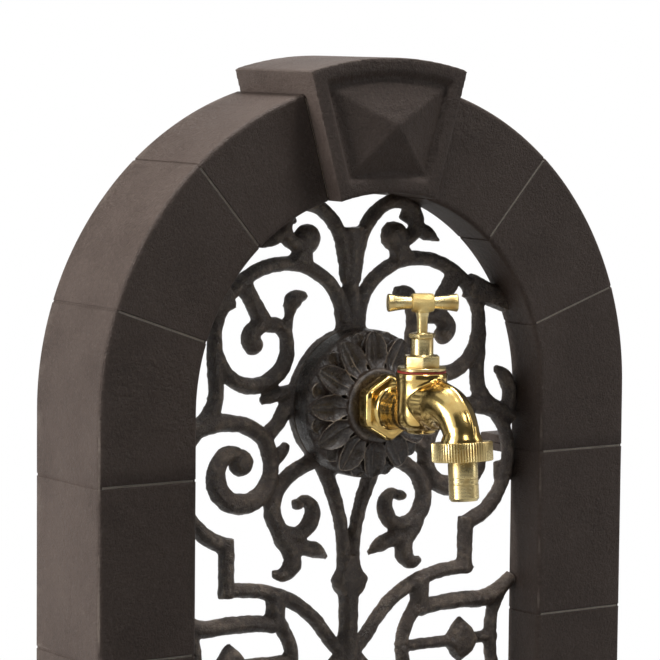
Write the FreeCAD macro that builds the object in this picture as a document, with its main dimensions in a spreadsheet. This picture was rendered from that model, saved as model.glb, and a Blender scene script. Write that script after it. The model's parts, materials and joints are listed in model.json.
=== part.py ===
import FreeCAD, Part
import math
import os
import Sketcher

# Garden fountain: a cast arch of scored blocks with a keystone, a scrolled grille in the opening,
# a bib tap on a rosette and a half-round basin on a plinth. Millimetres, +Z up, the front faces -Y.
# The origin is the middle of the footprint, on the ground. Pieces are drawn from the middle of the
# arch's spring line, on the front face of the arch, and node() moves them to the part's origin.

SIZES = {
    # Cast surround
    "arch_radius": 180,
    "band_width": 62,
    "surround_depth": 67,
    "reveal_depth": 28,
    "wall": 5,
    "jamb_height": 420,
    "first_course": 36,
    "course_height": 96,
    "score_width": 2,
    "score_depth": 1.5,
    "low_joint_angle": 19.1,
    "high_joint_angle": 48.8,
    "flange_inset": 5,
    # Keystone
    "keystone_half_angle": 16,
    "keystone_rise": 13,
    "keystone_proud": 11.4,
    "keystone_border": 7.5,
    "panel_sink": 2,
    "panel_half_angle": 13.4,
    "pyramid_rise": 10.6,
    # Plinth and basin
    "plinth_height": 45,
    "plinth_wall": 8,
    "basin_height": 120,
    "basin_wall": 12,
    "rim_lip": 6,
    "rim_height": 20,
    "basin_bolt_low": 36,
    "basin_bolt_high": 78,
    "cap_head_radius": 6,
    "basin_score_angle": 30,
    # Basin outlet
    "outlet_forward": 92,
    "drain_bore": 17,
    "drain_wall": 3.95,
    "drain_flange": 30,
    "drain_thickness": 3,
    "drain_seal_thickness": 2,
    "drain_tail": 40,
    "drain_nut_flats": 52,
    "drain_nut_height": 8,
    "drain_way_radius": 33.8,
    "strainer_hole": 2.5,
    "strainer_ring": 10,
    "strainer_count": 8,
    # A relief groove ends the nut's seat on each long thread
    "relief_width": 1.5,
    "relief_depth": 0.6,
    # Grille
    "grille_setback": 20,
    "grille_thickness": 8,
    "grille_gap": 0.3,
    "rail_height": 12,
    "hub_radius": 42,
    "hub_drop": 1.5,
    "lug_thickness": 3,
    "lug_half_height": 6,
    "lug_drop": 50,
    "lug_angle": 67.5,
    "screw_radius": 2.5,
    "screw_length": 12,
    "screw_head": 4.5,
    "screw_head_height": 2.5,
    "boss_radius": 6,
    # Fixings of the castings
    "bolt_radius": 3,
    "bolt_clearance": 0.3,
    "bolt_head_flats": 10,
    "bolt_head_height": 4,
    "bolt_nut_height": 5,
    "bolt_spacing": 28,
    "bolt_setback": 40,
    "bolt_overrun": 1.5,
    # Rosette
    "rosette_depth": 16,
    "petal_rise": 5,
    "tip_rise": 2.5,
    "petal_length": 20,
    "petal_width": 14,
    "seat_radius": 21,
    "seat_rise": 9,
    "petal_count": 12,
    # Tap body
    "tap_drop": 1.7,
    "shank_radius": 10.48,
    "shank_end": 58,
    "shank_bore": 6.5,
    "shank_clearance": 0.3,
    "wall_flats": 34,
    "wall_hexagon_length": 16,
    "neck_radius": 10,
    "neck_taper": 8,
    "chamber_forward": 43.3,
    "chamber_radius": 14.25,
    "chamber_top": 21,
    "chamber_foot": 10,
    "chamber_boss": 9,
    "chamber_boss_height": 3,
    "chamber_bore": 10.1,
    "seat_bore": 5.5,
    "seat_thickness": 3,
    "inlet_bore": 4,
    "inlet_drop": 5.6,
    "under_seat_radius": 8.5,
    "under_seat_depth": 8.5,
    "spout_radius": 9.75,
    "spout_bore": 6.2,
    "spout_height": 6,
    "spout_bend_forward": 60,
    "spout_bend_radius": 21,
    "spout_bend_angle": 85,
    "spout_collar": 11.2,
    "spout_collar_height": 7,
    "outlet_thread": 13.2,
    "outlet_thread_start": 0.9,
    "outlet_thread_end": 6,
    # Headwork
    "running_clearance": 0.05,
    "seal_thickness": 1,
    "bonnet_flange": 13.5,
    "bonnet_flange_height": 2,
    "bonnet_skirt": 10,
    "bonnet_skirt_depth": 9,
    "bonnet_flats": 18.4,
    "bonnet_hexagon_height": 6.3,
    "bonnet_neck": 6.25,
    "bonnet_neck_height": 9.7,
    "spindle_thread": 5,
    "spindle_thread_length": 19.4,
    "spindle_stem": 3,
    "handle_height": 59.3,
    "gland_flats": 13.4,
    "gland_nut_height": 2.5,
    "packing_height": 5,
    "valve_lift": 5,
    "jumper_disc": 8,
    "jumper_disc_height": 2,
    "jumper_stem_height": 9,
    "jumper_stub": 2,
    "seat_washer_height": 3,
    "washer_nut_flats": 6.5,
    "washer_nut_height": 2.5,
    # Handle
    "handle_azimuth": 27,
    "hub_barrel_radius": 5.2,
    "hub_barrel_length": 12.7,
    "bar_length": 39,
    "bar_end_radius": 5.1,
    "bar_waist_radius": 3.5,
    "bar_pin_radius": 2.2,
    # Hose union
    "union_radius": 16.7,
    "union_height": 10.5,
    "union_drop": 0.3,
    "union_lip": 2,
    "union_chamfer": 0.8,
    "tail_radius": 8.2,
    "tail_neck": 7.9,
    "tail_shoulder": 1,
    "tail_chamfer": 1.5,
    "tail_length": 21.6,
    "tail_bore": 6.3,
    "tail_flange": 12.4,
    "tail_flange_height": 1.5,
    # Back of the tap
    "back_washer_radius": 16,
    "back_washer_thickness": 2,
    "backnut_flats": 27,
    "backnut_height": 8,
}

os.makedirs("parts", exist_ok=True)
document = FreeCAD.newDocument("garden_fountain")
sheet = document.addObject("Spreadsheet::Sheet", "sizes")
for row, (alias, number) in enumerate(SIZES.items(), start=1):
    sheet.set(f"A{row}", alias)
    sheet.set(f"B{row}", str(number))
    sheet.setAlias(f"B{row}", alias)
document.recompute()


class Size:
    """A number with the sheet formula that gives it, so that sums of sizes stay bound to the sheet."""

    def __init__(self, value, formula=None):
        self.value = float(value)
        self.formula = formula or f"({self.value:.6f})"

    def joined(self, sign, other, value):
        return Size(value, f"({self.formula} {sign} {other.formula})")

    def __add__(self, other):
        other = size_of(other)
        return self.joined("+", other, self.value + other.value)

    def __sub__(self, other):
        other = size_of(other)
        return self.joined("-", other, self.value - other.value)

    def __mul__(self, other):
        other = size_of(other)
        return self.joined("*", other, self.value * other.value)

    def __truediv__(self, other):
        other = size_of(other)
        return self.joined("/", other, self.value / other.value)

    def __radd__(self, other):
        return size_of(other) + self

    def __rsub__(self, other):
        return size_of(other) - self

    def __rmul__(self, other):
        return size_of(other) * self

    def __neg__(self):
        return Size(0) - self


def size_of(number):
    return number if isinstance(number, Size) else Size(number)


def sine(angle):
    return Size(math.sin(math.radians(angle.value)), f"sin({angle.formula})")


def cosine(angle):
    return Size(math.cos(math.radians(angle.value)), f"cos({angle.formula})")


class DrivingSizes:
    """The cells of the sheet, read by their aliases."""

    def __getattr__(self, alias):
        return Size(getattr(sheet, alias), f"sizes.{alias}")


s = DrivingSizes()

# Directions that a shape's own Z axis is turned to: an axis to turn about and an angle
TO_BACK = ((-1, 0, 0), 90)
TO_FRONT = ((1, 0, 0), 90)
# A hexagon lies towards the front with a point up, and a ring stands with its start up
POINT_UP_TO_FRONT = ((1, -1, 1), 120)
RING_UPRIGHT = ((1, 0, 1), 180)

EASE = 1
"""How far a cutting tool runs past the face that it cuts."""


# Placing and joining

def bind(item, **fields):
    for field, value in fields.items():
        item.setExpression(field, size_of(value).formula)
    return item


def put(item, x=0, y=0, z=0, turn=None):
    """Moves an item to x, y, z, after turning it about an axis by a positive angle."""
    if turn:
        axis, angle = turn
        rotation = FreeCAD.Rotation(FreeCAD.Vector(*axis), size_of(angle).value)
        item.Placement = FreeCAD.Placement(FreeCAD.Vector(), rotation)
        if isinstance(angle, Size):
            item.setExpression("Placement.Rotation.Angle", angle.formula)
    for letter, value in zip("xyz", (x, y, z)):
        item.setExpression(f"Placement.Base.{letter}", size_of(value).formula)
    return item


def solid(kind, **fields):
    return bind(document.addObject(f"Part::{kind}", kind), **fields)


def block(x0, x1, y0, y1, z0, z1):
    item = solid("Box", Length=size_of(x1) - x0, Width=size_of(y1) - y0, Height=size_of(z1) - z0)
    return put(item, x0, y0, z0)


def upright(radius, z0, z1, x=0, y=0):
    return put(solid("Cylinder", Radius=radius, Height=size_of(z1) - z0), x, y, z0)


def lying(radius, y0, y1, x=0, z=0):
    return put(solid("Cylinder", Radius=radius, Height=size_of(y1) - y0), x, y0, z, TO_BACK)


def hexagon(flats, z0, z1, x=0, y=0):
    item = solid("Prism", Circumradius=size_of(flats) / math.sqrt(3), Height=size_of(z1) - z0)
    item.Polygon = 6
    return put(item, x, y, z0)


def carried(item):
    """A copy of an item's shape that can be moved by itself."""
    group = document.addObject("Part::Compound", "Carried")
    group.Links = [item]
    return group


def fuse(*items):
    if len(items) == 1:
        return carried(items[0])
    item = document.addObject("Part::MultiFuse", "Fuse")
    item.Shapes = list(items)
    return item


def cut(base, *tools):
    item = document.addObject("Part::Cut", "Cut")
    item.Base = base
    item.Tool = tools[0] if len(tools) == 1 else fuse(*tools)
    return item


def common(*items):
    item = document.addObject("Part::MultiCommon", "Common")
    item.Shapes = list(items)
    return item


def mirror(item):
    """The same shape on the other side of the plane X = 0."""
    other = document.addObject("Part::Mirroring", "Mirror")
    other.Source = item
    other.Base = (0, 0, 0)
    other.Normal = (1, 0, 0)
    return other


def both_sides(item):
    return fuse(item, mirror(item))


def around_arch(item, angle):
    """Swings a shape drawn along +X up the arch by an angle above the spring line."""
    return put(fuse(item), turn=((0, -1, 0), angle))


# Turned pieces and pieces made from sketches

def sketch_outline(body, role, corners):
    """A closed outline of straight sides whose corners follow the sheet."""
    sketch = body.newObject("Sketcher::SketchObject", "Outline")
    plane = [feature for feature in body.Origin.OriginFeatures if feature.Role == role][0]
    sketch.AttachmentSupport = [(plane, "")]
    sketch.MapMode = "FlatFace"
    corners = [(size_of(across), size_of(along)) for across, along in corners]
    points = [FreeCAD.Vector(across.value, along.value, 0) for across, along in corners]
    count = len(points)
    for index, point in enumerate(points):
        sketch.addGeometry(Part.LineSegment(point, points[(index + 1) % count]), False)
    for index in range(count):
        sketch.addConstraint(Sketcher.Constraint("Coincident", index, 2, (index + 1) % count, 1))
    for index, (across, along) in enumerate(corners):
        for kind, value, axis in (("DistanceX", across, -2), ("DistanceY", along, -1)):
            if value.value == 0:
                sketch.addConstraint(Sketcher.Constraint("PointOnObject", index, 1, axis))
                continue
            rule = Sketcher.Constraint(kind, -1, 1, index, 1, value.value)
            number = sketch.addConstraint(rule)
            sketch.setExpression(f"Constraints[{number}]", value.formula)
    return sketch


def turned(*corners):
    """A piece turned about its own Z axis from an outline of (radius, height) corners."""
    body = document.addObject("PartDesign::Body", "Turned")
    sketch = sketch_outline(body, "XZ_Plane", corners)
    turn = body.newObject("PartDesign::Revolution", "Turn")
    turn.Profile = sketch
    turn.ReferenceAxis = (sketch, ["V_Axis"])
    turn.Angle = 360
    body.Tip = turn
    return body


def raised(body, corners, base, height):
    """Pads an outline in the body's XY plane from one height to another above it."""
    sketch = sketch_outline(body, "XY_Plane", corners)
    sketch.setExpression("AttachmentOffset.Base.z", size_of(base).formula)
    pad = body.newObject("PartDesign::Pad", "Raise")
    pad.Profile = sketch
    bind(pad, Length=height)
    return pad


def ring_of(body, feature, count, first_angle=0):
    """Repeats a feature around the body's Z axis."""
    pattern = body.newObject("PartDesign::PolarPattern", "Ring")
    pattern.Originals = [feature]
    pattern.Axis = (feature.Profile[0], ["N_Axis"])
    pattern.Angle = 360
    bind(pattern, Occurrences=count)
    body.Tip = pattern
    return pattern


# Nodes

FACE_Y = (s.arch_radius + s.rim_lip - s.surround_depth) / 2
SPRING_Z = s.plinth_height + s.jamb_height
nodes = []


def node(label, item, x=0, y=0, z=0, turn=None):
    """Names a finished piece and moves it from the arch's middle to the part's origin."""
    put(item, x, FACE_Y + y, SPRING_Z + z, turn)
    item.Label = label
    nodes.append(item)
    return item


def mirrored_node(label, placed):
    item = mirror(placed)
    item.Label = label
    nodes.append(item)
    return item


# Surround: hollow castings, open at the back, bolted together at hidden flanges

INNER = s.arch_radius - s.band_width
MIDDLE = s.arch_radius - s.band_width / 2
TOP_ANGLE = 90 - s.keystone_half_angle
BOLT_PLACES = (MIDDLE - s.bolt_spacing / 2, MIDDLE + s.bolt_spacing / 2)
BOSS_X = INNER + s.wall + s.boss_radius / 2
FLANGE_BACK = s.surround_depth - s.flange_inset


def ring_sector(inner, outer, y0, y1, start, sweep):
    """Part of a ring about the arch's axis, from an angle above the spring line upward."""
    disc = solid("Cylinder", Radius=outer, Height=size_of(y1) - y0, Angle=sweep)
    put(disc, 0, y1, 0, TO_FRONT)
    ring = cut(disc, lying(inner, y0 - EASE, y1 + EASE))
    return around_arch(ring, start) if isinstance(start, Size) else ring


def score_tool():
    """Cuts one scored joint along +X, across the front and down both sides."""
    half = s.score_width / 2
    outer = s.arch_radius
    return fuse(
        block(INNER - EASE, outer + EASE, -EASE, s.score_depth, -half, half),
        block(outer - s.score_depth, outer + EASE, -EASE, s.surround_depth + EASE, -half, half),
        block(INNER - EASE, INNER + s.score_depth, -EASE, s.reveal_depth + EASE, -half, half),
    )


def flange(z0, z1):
    """A flange inside the casting, square to the band, without its bolt holes."""
    inset = s.wall / 2
    return block(INNER + inset, s.arch_radius - inset, inset, FLANGE_BACK, z0, z1)


def bolt_holes(z0, z1):
    radius = s.bolt_radius + s.bolt_clearance
    return fuse(*[upright(radius, z0 - EASE, z1 + EASE, x, s.bolt_setback) for x in BOLT_PLACES])


def screw_boss():
    """A boss behind the reveal that takes one grille screw, drawn along +X."""
    depth = s.screw_length + s.wall / 2
    return lying(s.boss_radius, s.reveal_depth - depth, s.reveal_depth, BOSS_X)


def screw_hole():
    return lying(s.screw_radius, s.reveal_depth - s.screw_length, s.reveal_depth + EASE, BOSS_X)


def right_jamb():
    bottom = -s.jamb_height
    top = -s.first_course
    outside = block(INNER, s.arch_radius, 0, s.surround_depth, bottom, top)
    inside = block(
        INNER + s.wall, s.arch_radius - s.wall, s.wall, s.surround_depth + EASE,
        bottom - EASE, top + EASE,
    )
    open_side = block(
        INNER - EASE, INNER + s.wall + EASE, s.reveal_depth, s.surround_depth + EASE,
        bottom - EASE, top + EASE,
    )
    shell = cut(outside, inside, open_side)
    flanges = cut(
        fuse(flange(bottom, bottom + s.wall), flange(top - s.wall, top)),
        bolt_holes(bottom, top),
    )
    bosses = [put(fuse(screw_boss()), z=z) for z in LUG_HEIGHTS]
    holes = [put(fuse(screw_hole()), z=z) for z in LUG_HEIGHTS]
    scores = []
    for course in (1, 2, 3):
        scores.append(put(fuse(score_tool()), z=-s.first_course - s.course_height * course))
    wall_holes = [lying(s.bolt_radius + s.bolt_clearance, -EASE, s.wall + EASE, MIDDLE, z)
                  for z in BASIN_BOLT_HEIGHTS]
    return cut(fuse(shell, flanges, *bosses), *holes, *scores, *wall_holes)


def right_arch():
    foot = -s.first_course

    def band(inner, outer, y0, y1):
        return fuse(ring_sector(inner, outer, y0, y1, 0, TOP_ANGLE),
                    block(inner, outer, y0, y1, foot, 0))

    outside = band(INNER, s.arch_radius, size_of(0), s.surround_depth)
    back = s.surround_depth + EASE
    inside = band(INNER + s.wall, s.arch_radius - s.wall, s.wall, back)
    open_side = band(INNER - EASE, INNER + s.wall + EASE, s.reveal_depth, back)
    shell = cut(outside, inside, open_side)
    foot_flange = cut(flange(foot, foot + s.wall), bolt_holes(foot, foot + s.wall))
    head_flange = around_arch(cut(flange(-s.wall, 0), bolt_holes(-s.wall, size_of(0))), TOP_ANGLE)
    boss = around_arch(screw_boss(), s.lug_angle)
    hole = around_arch(screw_hole(), s.lug_angle)
    scores = [around_arch(score_tool(), angle) for angle in (s.low_joint_angle, s.high_joint_angle)]
    return cut(fuse(shell, foot_flange, head_flange, boss), hole, *scores)


def pyramid():
    """The low four-sided point on the keystone's panel."""
    front = s.panel_sink.value - s.keystone_proud.value
    half_angle = math.radians(s.panel_half_angle.value)
    low = PANEL_INNER.value
    high = PANEL_OUTER.value
    base = [(side * radius * math.sin(half_angle), front + EASE, radius * math.cos(half_angle))
            for side, radius in ((-1, low), (1, low), (1, high), (-1, high))]
    apex = (0, front - s.pyramid_rise.value, (low + high) / 2)
    base = [FreeCAD.Vector(*corner) for corner in base]
    apex = FreeCAD.Vector(*apex)
    faces = [Part.Face(Part.makePolygon(base + base[:1]))]
    for index, corner in enumerate(base):
        faces.append(Part.Face(Part.makePolygon([corner, base[(index + 1) % 4], apex, corner])))
    item = document.addObject("Part::Feature", "Pyramid")
    item.Shape = Part.makeSolid(Part.makeShell(faces))
    return item


PANEL_INNER = INNER + s.keystone_border
PANEL_OUTER = s.arch_radius + s.keystone_rise - s.keystone_border


def keystone():
    crown = s.arch_radius + s.keystone_rise
    front = -s.keystone_proud
    back = s.surround_depth + EASE
    sweep = s.keystone_half_angle * 2
    outside = ring_sector(INNER, crown, front, s.surround_depth, TOP_ANGLE, sweep)
    inside = ring_sector(INNER + s.wall, crown - s.wall, front + s.panel_sink + s.wall, back, TOP_ANGLE, sweep)
    open_side = ring_sector(INNER - EASE, INNER + s.wall + EASE, s.reveal_depth, back, TOP_ANGLE, sweep)
    panel = ring_sector(
        PANEL_INNER, PANEL_OUTER, front - EASE, front + s.panel_sink,
        90 - s.panel_half_angle, s.panel_half_angle * 2,
    )
    cheek = block(INNER + s.wall / 2, crown - s.wall / 2, front + s.wall / 2, FLANGE_BACK, 0, s.wall)
    right_cheek = around_arch(cut(cheek, bolt_holes(size_of(0), s.wall)), TOP_ANGLE)
    trough = block(-INNER, INNER, s.reveal_depth, back, 0, INNER)
    bore = common(lying(INNER + s.wall, s.reveal_depth, back), trough)
    cheeks = cut(both_sides(right_cheek), bore)
    return fuse(cut(outside, inside, open_side, panel), cheeks, pyramid())


# Bolts of the castings, drawn upright across a joint at z = 0

def bolt(x, below, above):
    """A hexagon-head bolt: its head lies under the lower flange, its end passes the nut."""
    shank = upright(s.bolt_radius, -below - s.bolt_head_height / 2,
                    above + s.bolt_nut_height + s.bolt_overrun, x, s.bolt_setback)
    head = hexagon(s.bolt_head_flats, -below - s.bolt_head_height, -below, x, s.bolt_setback)
    return fuse(shank, head)


def bolt_nut(x, above):
    ring = hexagon(s.bolt_head_flats, above, above + s.bolt_nut_height, x, s.bolt_setback)
    hole = upright(s.bolt_radius + s.running_clearance, above - EASE,
                   above + s.bolt_nut_height + EASE, x, s.bolt_setback)
    return cut(ring, hole)


def surround_fixings(piece):
    """One kind of fixing at the four joints of the surround."""
    pair = [piece(x) for x in BOLT_PLACES]
    foot = put(fuse(*pair), z=-s.first_course)
    pair = [piece(x) for x in BOLT_PLACES]
    head = around_arch(fuse(*pair), TOP_ANGLE)
    return both_sides(fuse(foot, head))


# Plinth and basin

RIM_RADIUS = s.arch_radius + s.rim_lip
BASIN_FOOT = -s.jamb_height
BASIN_TOP = BASIN_FOOT + s.basin_height
BASIN_FLOOR = BASIN_FOOT + s.basin_wall
BASIN_BOLT_HEIGHTS = (BASIN_FOOT + s.basin_bolt_low, BASIN_FOOT + s.basin_bolt_high)
LUG_HEIGHTS = (-s.lug_drop, BASIN_TOP + s.lug_drop)


def half_round(radius, z0, z1):
    item = solid("Cylinder", Radius=radius, Height=size_of(z1) - z0)
    item.Angle = 180
    return put(item, 0, 0, z0, ((0, 0, 1), 180))


def d_shape(radius, back, z0, z1):
    """A half round in front of a straight block of the same width."""
    return fuse(half_round(radius, z0, z1), block(-radius, radius, -EASE, back, z0, z1))


def plinth():
    foot = BASIN_FOOT - s.plinth_height
    outside = d_shape(RIM_RADIUS, s.surround_depth, foot, BASIN_FOOT)
    inside = d_shape(RIM_RADIUS - s.plinth_wall, s.surround_depth - s.plinth_wall,
                     foot - EASE, BASIN_FOOT - s.plinth_wall)
    way = upright(s.drain_way_radius, BASIN_FOOT - s.plinth_wall - EASE, BASIN_FOOT + EASE, 0, -s.outlet_forward)
    holes = put(both_sides(bolt_holes(-s.plinth_wall, size_of(0))), z=BASIN_FOOT)
    return cut(outside, inside, way, holes)


def basin():
    bowl = fuse(half_round(s.arch_radius, BASIN_FOOT, BASIN_TOP),
                half_round(RIM_RADIUS, BASIN_TOP - s.rim_height, BASIN_TOP))
    inner = s.arch_radius - s.basin_wall
    well = common(
        upright(inner, BASIN_FLOOR, BASIN_TOP + EASE),
        block(-inner, inner, -inner, -s.basin_wall, BASIN_FLOOR, BASIN_TOP + EASE),
    )
    drain_hole = upright(DRAIN_TAIL_RADIUS + s.shank_clearance, BASIN_FOOT - EASE, BASIN_FLOOR + EASE,
                         0, -s.outlet_forward)
    bolt_hole = [lying(s.bolt_radius + s.bolt_clearance, -s.basin_wall - EASE, EASE, MIDDLE, z)
                 for z in BASIN_BOLT_HEIGHTS]
    scores = []
    half = s.score_width / 2
    for step in (1, 2, 3, 4, 5):
        groove = block(s.arch_radius - s.score_depth, s.arch_radius + s.score_width / 2,
                       -half, half, BASIN_FOOT - EASE, BASIN_TOP - s.rim_height)
        scores.append(put(fuse(groove), turn=((0, 0, -1), s.basin_score_angle * step)))
    return cut(bowl, well, drain_hole, both_sides(fuse(*bolt_hole)), *scores)


def basin_fixings(piece):
    """One kind of fixing at the four bolts through the basin's back wall."""
    return both_sides(fuse(*[put(fuse(piece()), MIDDLE, 0, z) for z in BASIN_BOLT_HEIGHTS]))


def basin_bolt():
    end = s.wall + s.bolt_nut_height + s.bolt_overrun
    shank = lying(s.bolt_radius, -s.basin_wall - s.bolt_head_height / 2, end)
    head = lying(s.cap_head_radius, -s.basin_wall - s.bolt_head_height, -s.basin_wall)
    return fuse(shank, head)


def basin_nut():
    body = put(fuse(hexagon(s.bolt_head_flats, 0, s.bolt_nut_height)), 0, s.wall, 0, TO_BACK)
    return cut(body, lying(s.bolt_radius + s.running_clearance, 0, s.wall + s.bolt_nut_height + EASE))


DRAIN_TAIL_RADIUS = s.drain_bore + s.drain_wall
DRAIN_NUT_FOOT = -s.drain_nut_height - s.basin_wall - s.drain_seal_thickness


def drain_strainer():
    """The outlet's flange with its strainer holes and its threaded tail, drawn from the seal up."""
    relief = DRAIN_TAIL_RADIUS - s.relief_depth
    body = turned(
        (0, 0), (s.drain_bore, 0), (s.drain_bore, -s.drain_tail), (DRAIN_TAIL_RADIUS, -s.drain_tail),
        (DRAIN_TAIL_RADIUS, DRAIN_NUT_FOOT - s.relief_width), (relief, DRAIN_NUT_FOOT - s.relief_width),
        (relief, DRAIN_NUT_FOOT), (DRAIN_TAIL_RADIUS, DRAIN_NUT_FOOT), (DRAIN_TAIL_RADIUS, 0),
        (s.drain_flange, 0), (s.drain_flange, s.drain_thickness / 2),
        (s.drain_flange - s.drain_thickness, s.drain_thickness), (0, s.drain_thickness),
    )
    half = s.strainer_hole
    ring = s.strainer_ring
    sketch = sketch_outline(body, "XY_Plane", (
        (ring - half, -half), (ring + half, -half), (ring + half, half), (ring - half, half),
    ))
    slot = body.newObject("PartDesign::Pocket", "Slot")
    slot.Profile = sketch
    slot.Midplane = True
    bind(slot, Length=s.drain_thickness * 4)
    ring_of(body, slot, s.strainer_count)
    return body


# Grille: half of its pattern as strands, each a row of (across, up, width) stations from the arch's
# middle. The second list is repeated upside down below the middle of the grille.

UPPER_STRANDS = [
    [(0, 30, 12), (0, 56, 10), (0, 78, 8)],
    [(3, 66, 7), (5, 82, 8), (9, 95, 8.5), (17, 105, 8.5), (28, 110.5, 8.5), (39, 109, 8.5),
     (45, 101, 9), (43, 92, 9), (34, 88, 9)],
    [(43, 97, 8), (53, 92, 9), (63, 87, 2)],
    [(5, 34, 9), (6, 50, 9), (13, 64, 8.5), (24, 72.5, 8.5), (36, 77, 8.5), (50, 77.5, 8.5),
     (64, 74, 8.5), (77, 66, 8.5), (87, 54, 8.5), (91, 40, 8.5), (88.5, 26, 8.5), (80, 15, 9),
     (68, 10.3, 9.5), (55, 12.5, 9.5), (46, 20, 9.5), (43, 31, 8.5), (46, 41, 8.5), (54, 44, 9),
     (63, 43, 10), (68.5, 37, 10), (66, 31, 9)],
    [(82, 61, 15), (98, 55, 13), (112, 50, 13)],
    [(72, 66, 10), (65, 55, 10), (60, 46, 11)],
    [(43, 38, 6), (41.5, 49, 6), (39, 57, 11), (30, 59.5, 5)],
    [(92, 36, 8), (91, 20, 8.5), (90, 8, 9), (93, -3, 10), (102, -12, 10)],
    [(104, 12, 4), (110, 7, 9), (114, -3, 9), (112, -16, 9)],
    [(30, 6, 8), (48, 4.5, 8.5), (56, 2.5, 7), (60, 0.5, 4)],
    [(40, 4, 8), (45, -5, 9), (48.5, -11, 9), (55, -17, 9)],
]
REPEATED_STRANDS = [
    [(117, -18, 9), (103, -12, 11), (92, -9.5, 11), (80, -9.8, 9.5), (68, -13, 9.5), (58, -21, 9.5),
     (53.8, -33, 9.5), (56, -46, 10), (63.5, -53.5, 11), (74, -55.5, 12), (84, -52, 12),
     (90, -42, 12), (88.5, -33, 10.5), (82, -27, 9.5), (75, -28, 9)],
    [(54, -34, 9), (46, -28, 8), (42, -24, 5)],
    [(103, -13, 9), (111, -25, 8.5), (113.5, -42, 8.5), (109, -57, 8.5), (98, -71, 9.5),
     (88, -76.5, 9.5), (81, -79, 9)],
    [(82.8, -74, 9.5), (82.8, -108, 9.5)],
    [(87, -104, 8.5), (72, -104.5, 8.5), (56, -107, 8.5), (42, -112, 8.5), (30, -119.5, 8.5),
     (21, -128, 8.5), (13, -138, 8.5), (4, -148, 8)],
    [(20, -33, 9), (34, -38, 9), (43, -43, 9), (49.5, -50, 9.5), (52.5, -60, 10), (49, -70, 10),
     (41, -75, 9), (32, -74.5, 9), (26, -68, 10), (25.5, -61, 9), (30, -57, 7), (36, -59, 5)],
    [(51, -63, 9), (46, -77, 10), (40, -85, 10), (39, -93, 11), (45, -98, 8.5), (51.5, -97, 4)],
    [(40, -83, 8), (30, -84, 9), (22, -86, 9.5), (14, -91, 3)],
    [(20, -34, 10), (12, -52, 9), (7.5, -64, 8.5), (4.5, -78, 8), (3, -98, 8)],
    [(0, -90, 11), (0, -97, 14), (0, -104, 23), (0, -109, 20), (0, -114, 12), (0, -120, 11.5), (0, -134, 11.5),
     (0, -148, 11.5)],
    [(118, -113, 8), (110, -119, 9.5), (100, -124, 10), (80, -124, 10), (60, -125, 9.5), (50, -127, 9)],
    [(50, -107, 12), (50, -128, 11)],
    [(50, -122, 10), (43, -132, 8.5), (39, -141, 8.5), (38, -148, 8.5)],
    [(80, -134, 2), (80, -141, 14), (80, -148, 22)],
    [(36, -148, 7), (106, -148, 7)],
    [(110, -119, 9), (104, -132, 8), (102, -148, 8)],
]
UPPER_ENDS = [(30, 91, 9), (65.5, 33, 6)]
REPEATED_ENDS = [(73, -32.5, 8), (35.5, -58.5, 3.6)]
PATTERN_OPENING = 118
PATTERN_WAIST = -100
PATTERN_MIDDLE = -148


def pattern_height(z):
    """A height of the pattern, fitted to the opening: it stretches below the waist."""
    scale = INNER.value / PATTERN_OPENING
    middle = (BASIN_TOP.value + s.rail_height.value / 2) / 2
    waist = PATTERN_WAIST * scale
    if z >= PATTERN_WAIST:
        return z * scale
    return waist + (z - PATTERN_WAIST) / (PATTERN_MIDDLE - PATTERN_WAIST) * (middle - waist)


def fitted(station):
    scale = INNER.value / PATTERN_OPENING
    x, z, width = station
    return FreeCAD.Vector(x * scale, 0, pattern_height(z)), width * scale


def strand_face(stations):
    """A flat face along a strand: two curves, half its width to each side of its middle line."""
    points, widths = zip(*[fitted(station) for station in stations])
    middle = Part.BSplineCurve()
    middle.interpolate(list(points))
    sides = ([], [])
    for point, width in zip(points, widths):
        along = FreeCAD.Vector(*middle.tangent(middle.parameter(point))[0])
        across = along.cross(FreeCAD.Vector(0, 1, 0))
        sides[0].append(point + across * (width / 2))
        sides[1].append(point - across * (width / 2))
    edges = []
    for side in sides:
        curve = Part.BSplineCurve()
        curve.interpolate(side)
        edges.append(curve.toShape())
    start = Part.makeLine(sides[0][0], sides[1][0])
    end = Part.makeLine(sides[0][-1], sides[1][-1])
    return Part.Face(Part.Wire([edges[0], end, edges[1].reversed(), start]))


def end_face(station):
    point, radius = fitted(station)
    return Part.Face(Part.Wire(Part.makeCircle(radius, point, FreeCAD.Vector(0, 1, 0))))


def grille_pattern():
    """The strands of the whole pattern, from the grille's front face back."""
    upper = [strand_face(strand) for strand in UPPER_STRANDS]
    upper += [end_face(end) for end in UPPER_ENDS]
    repeated = [strand_face(strand) for strand in REPEATED_STRANDS]
    repeated += [end_face(end) for end in REPEATED_ENDS]
    middle = FreeCAD.Vector(0, 0, pattern_height(PATTERN_MIDDLE))
    lower = [face.mirror(middle, FreeCAD.Vector(0, 0, 1)) for face in repeated]
    thickness = FreeCAD.Vector(0, s.grille_thickness.value, 0)
    strands = [face.extrude(thickness) for face in upper + repeated + lower]
    half = strands[0].fuse(strands[1:])
    whole = half.fuse(half.mirror(FreeCAD.Vector(), FreeCAD.Vector(1, 0, 0)))
    return whole.removeSplitter()


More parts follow.
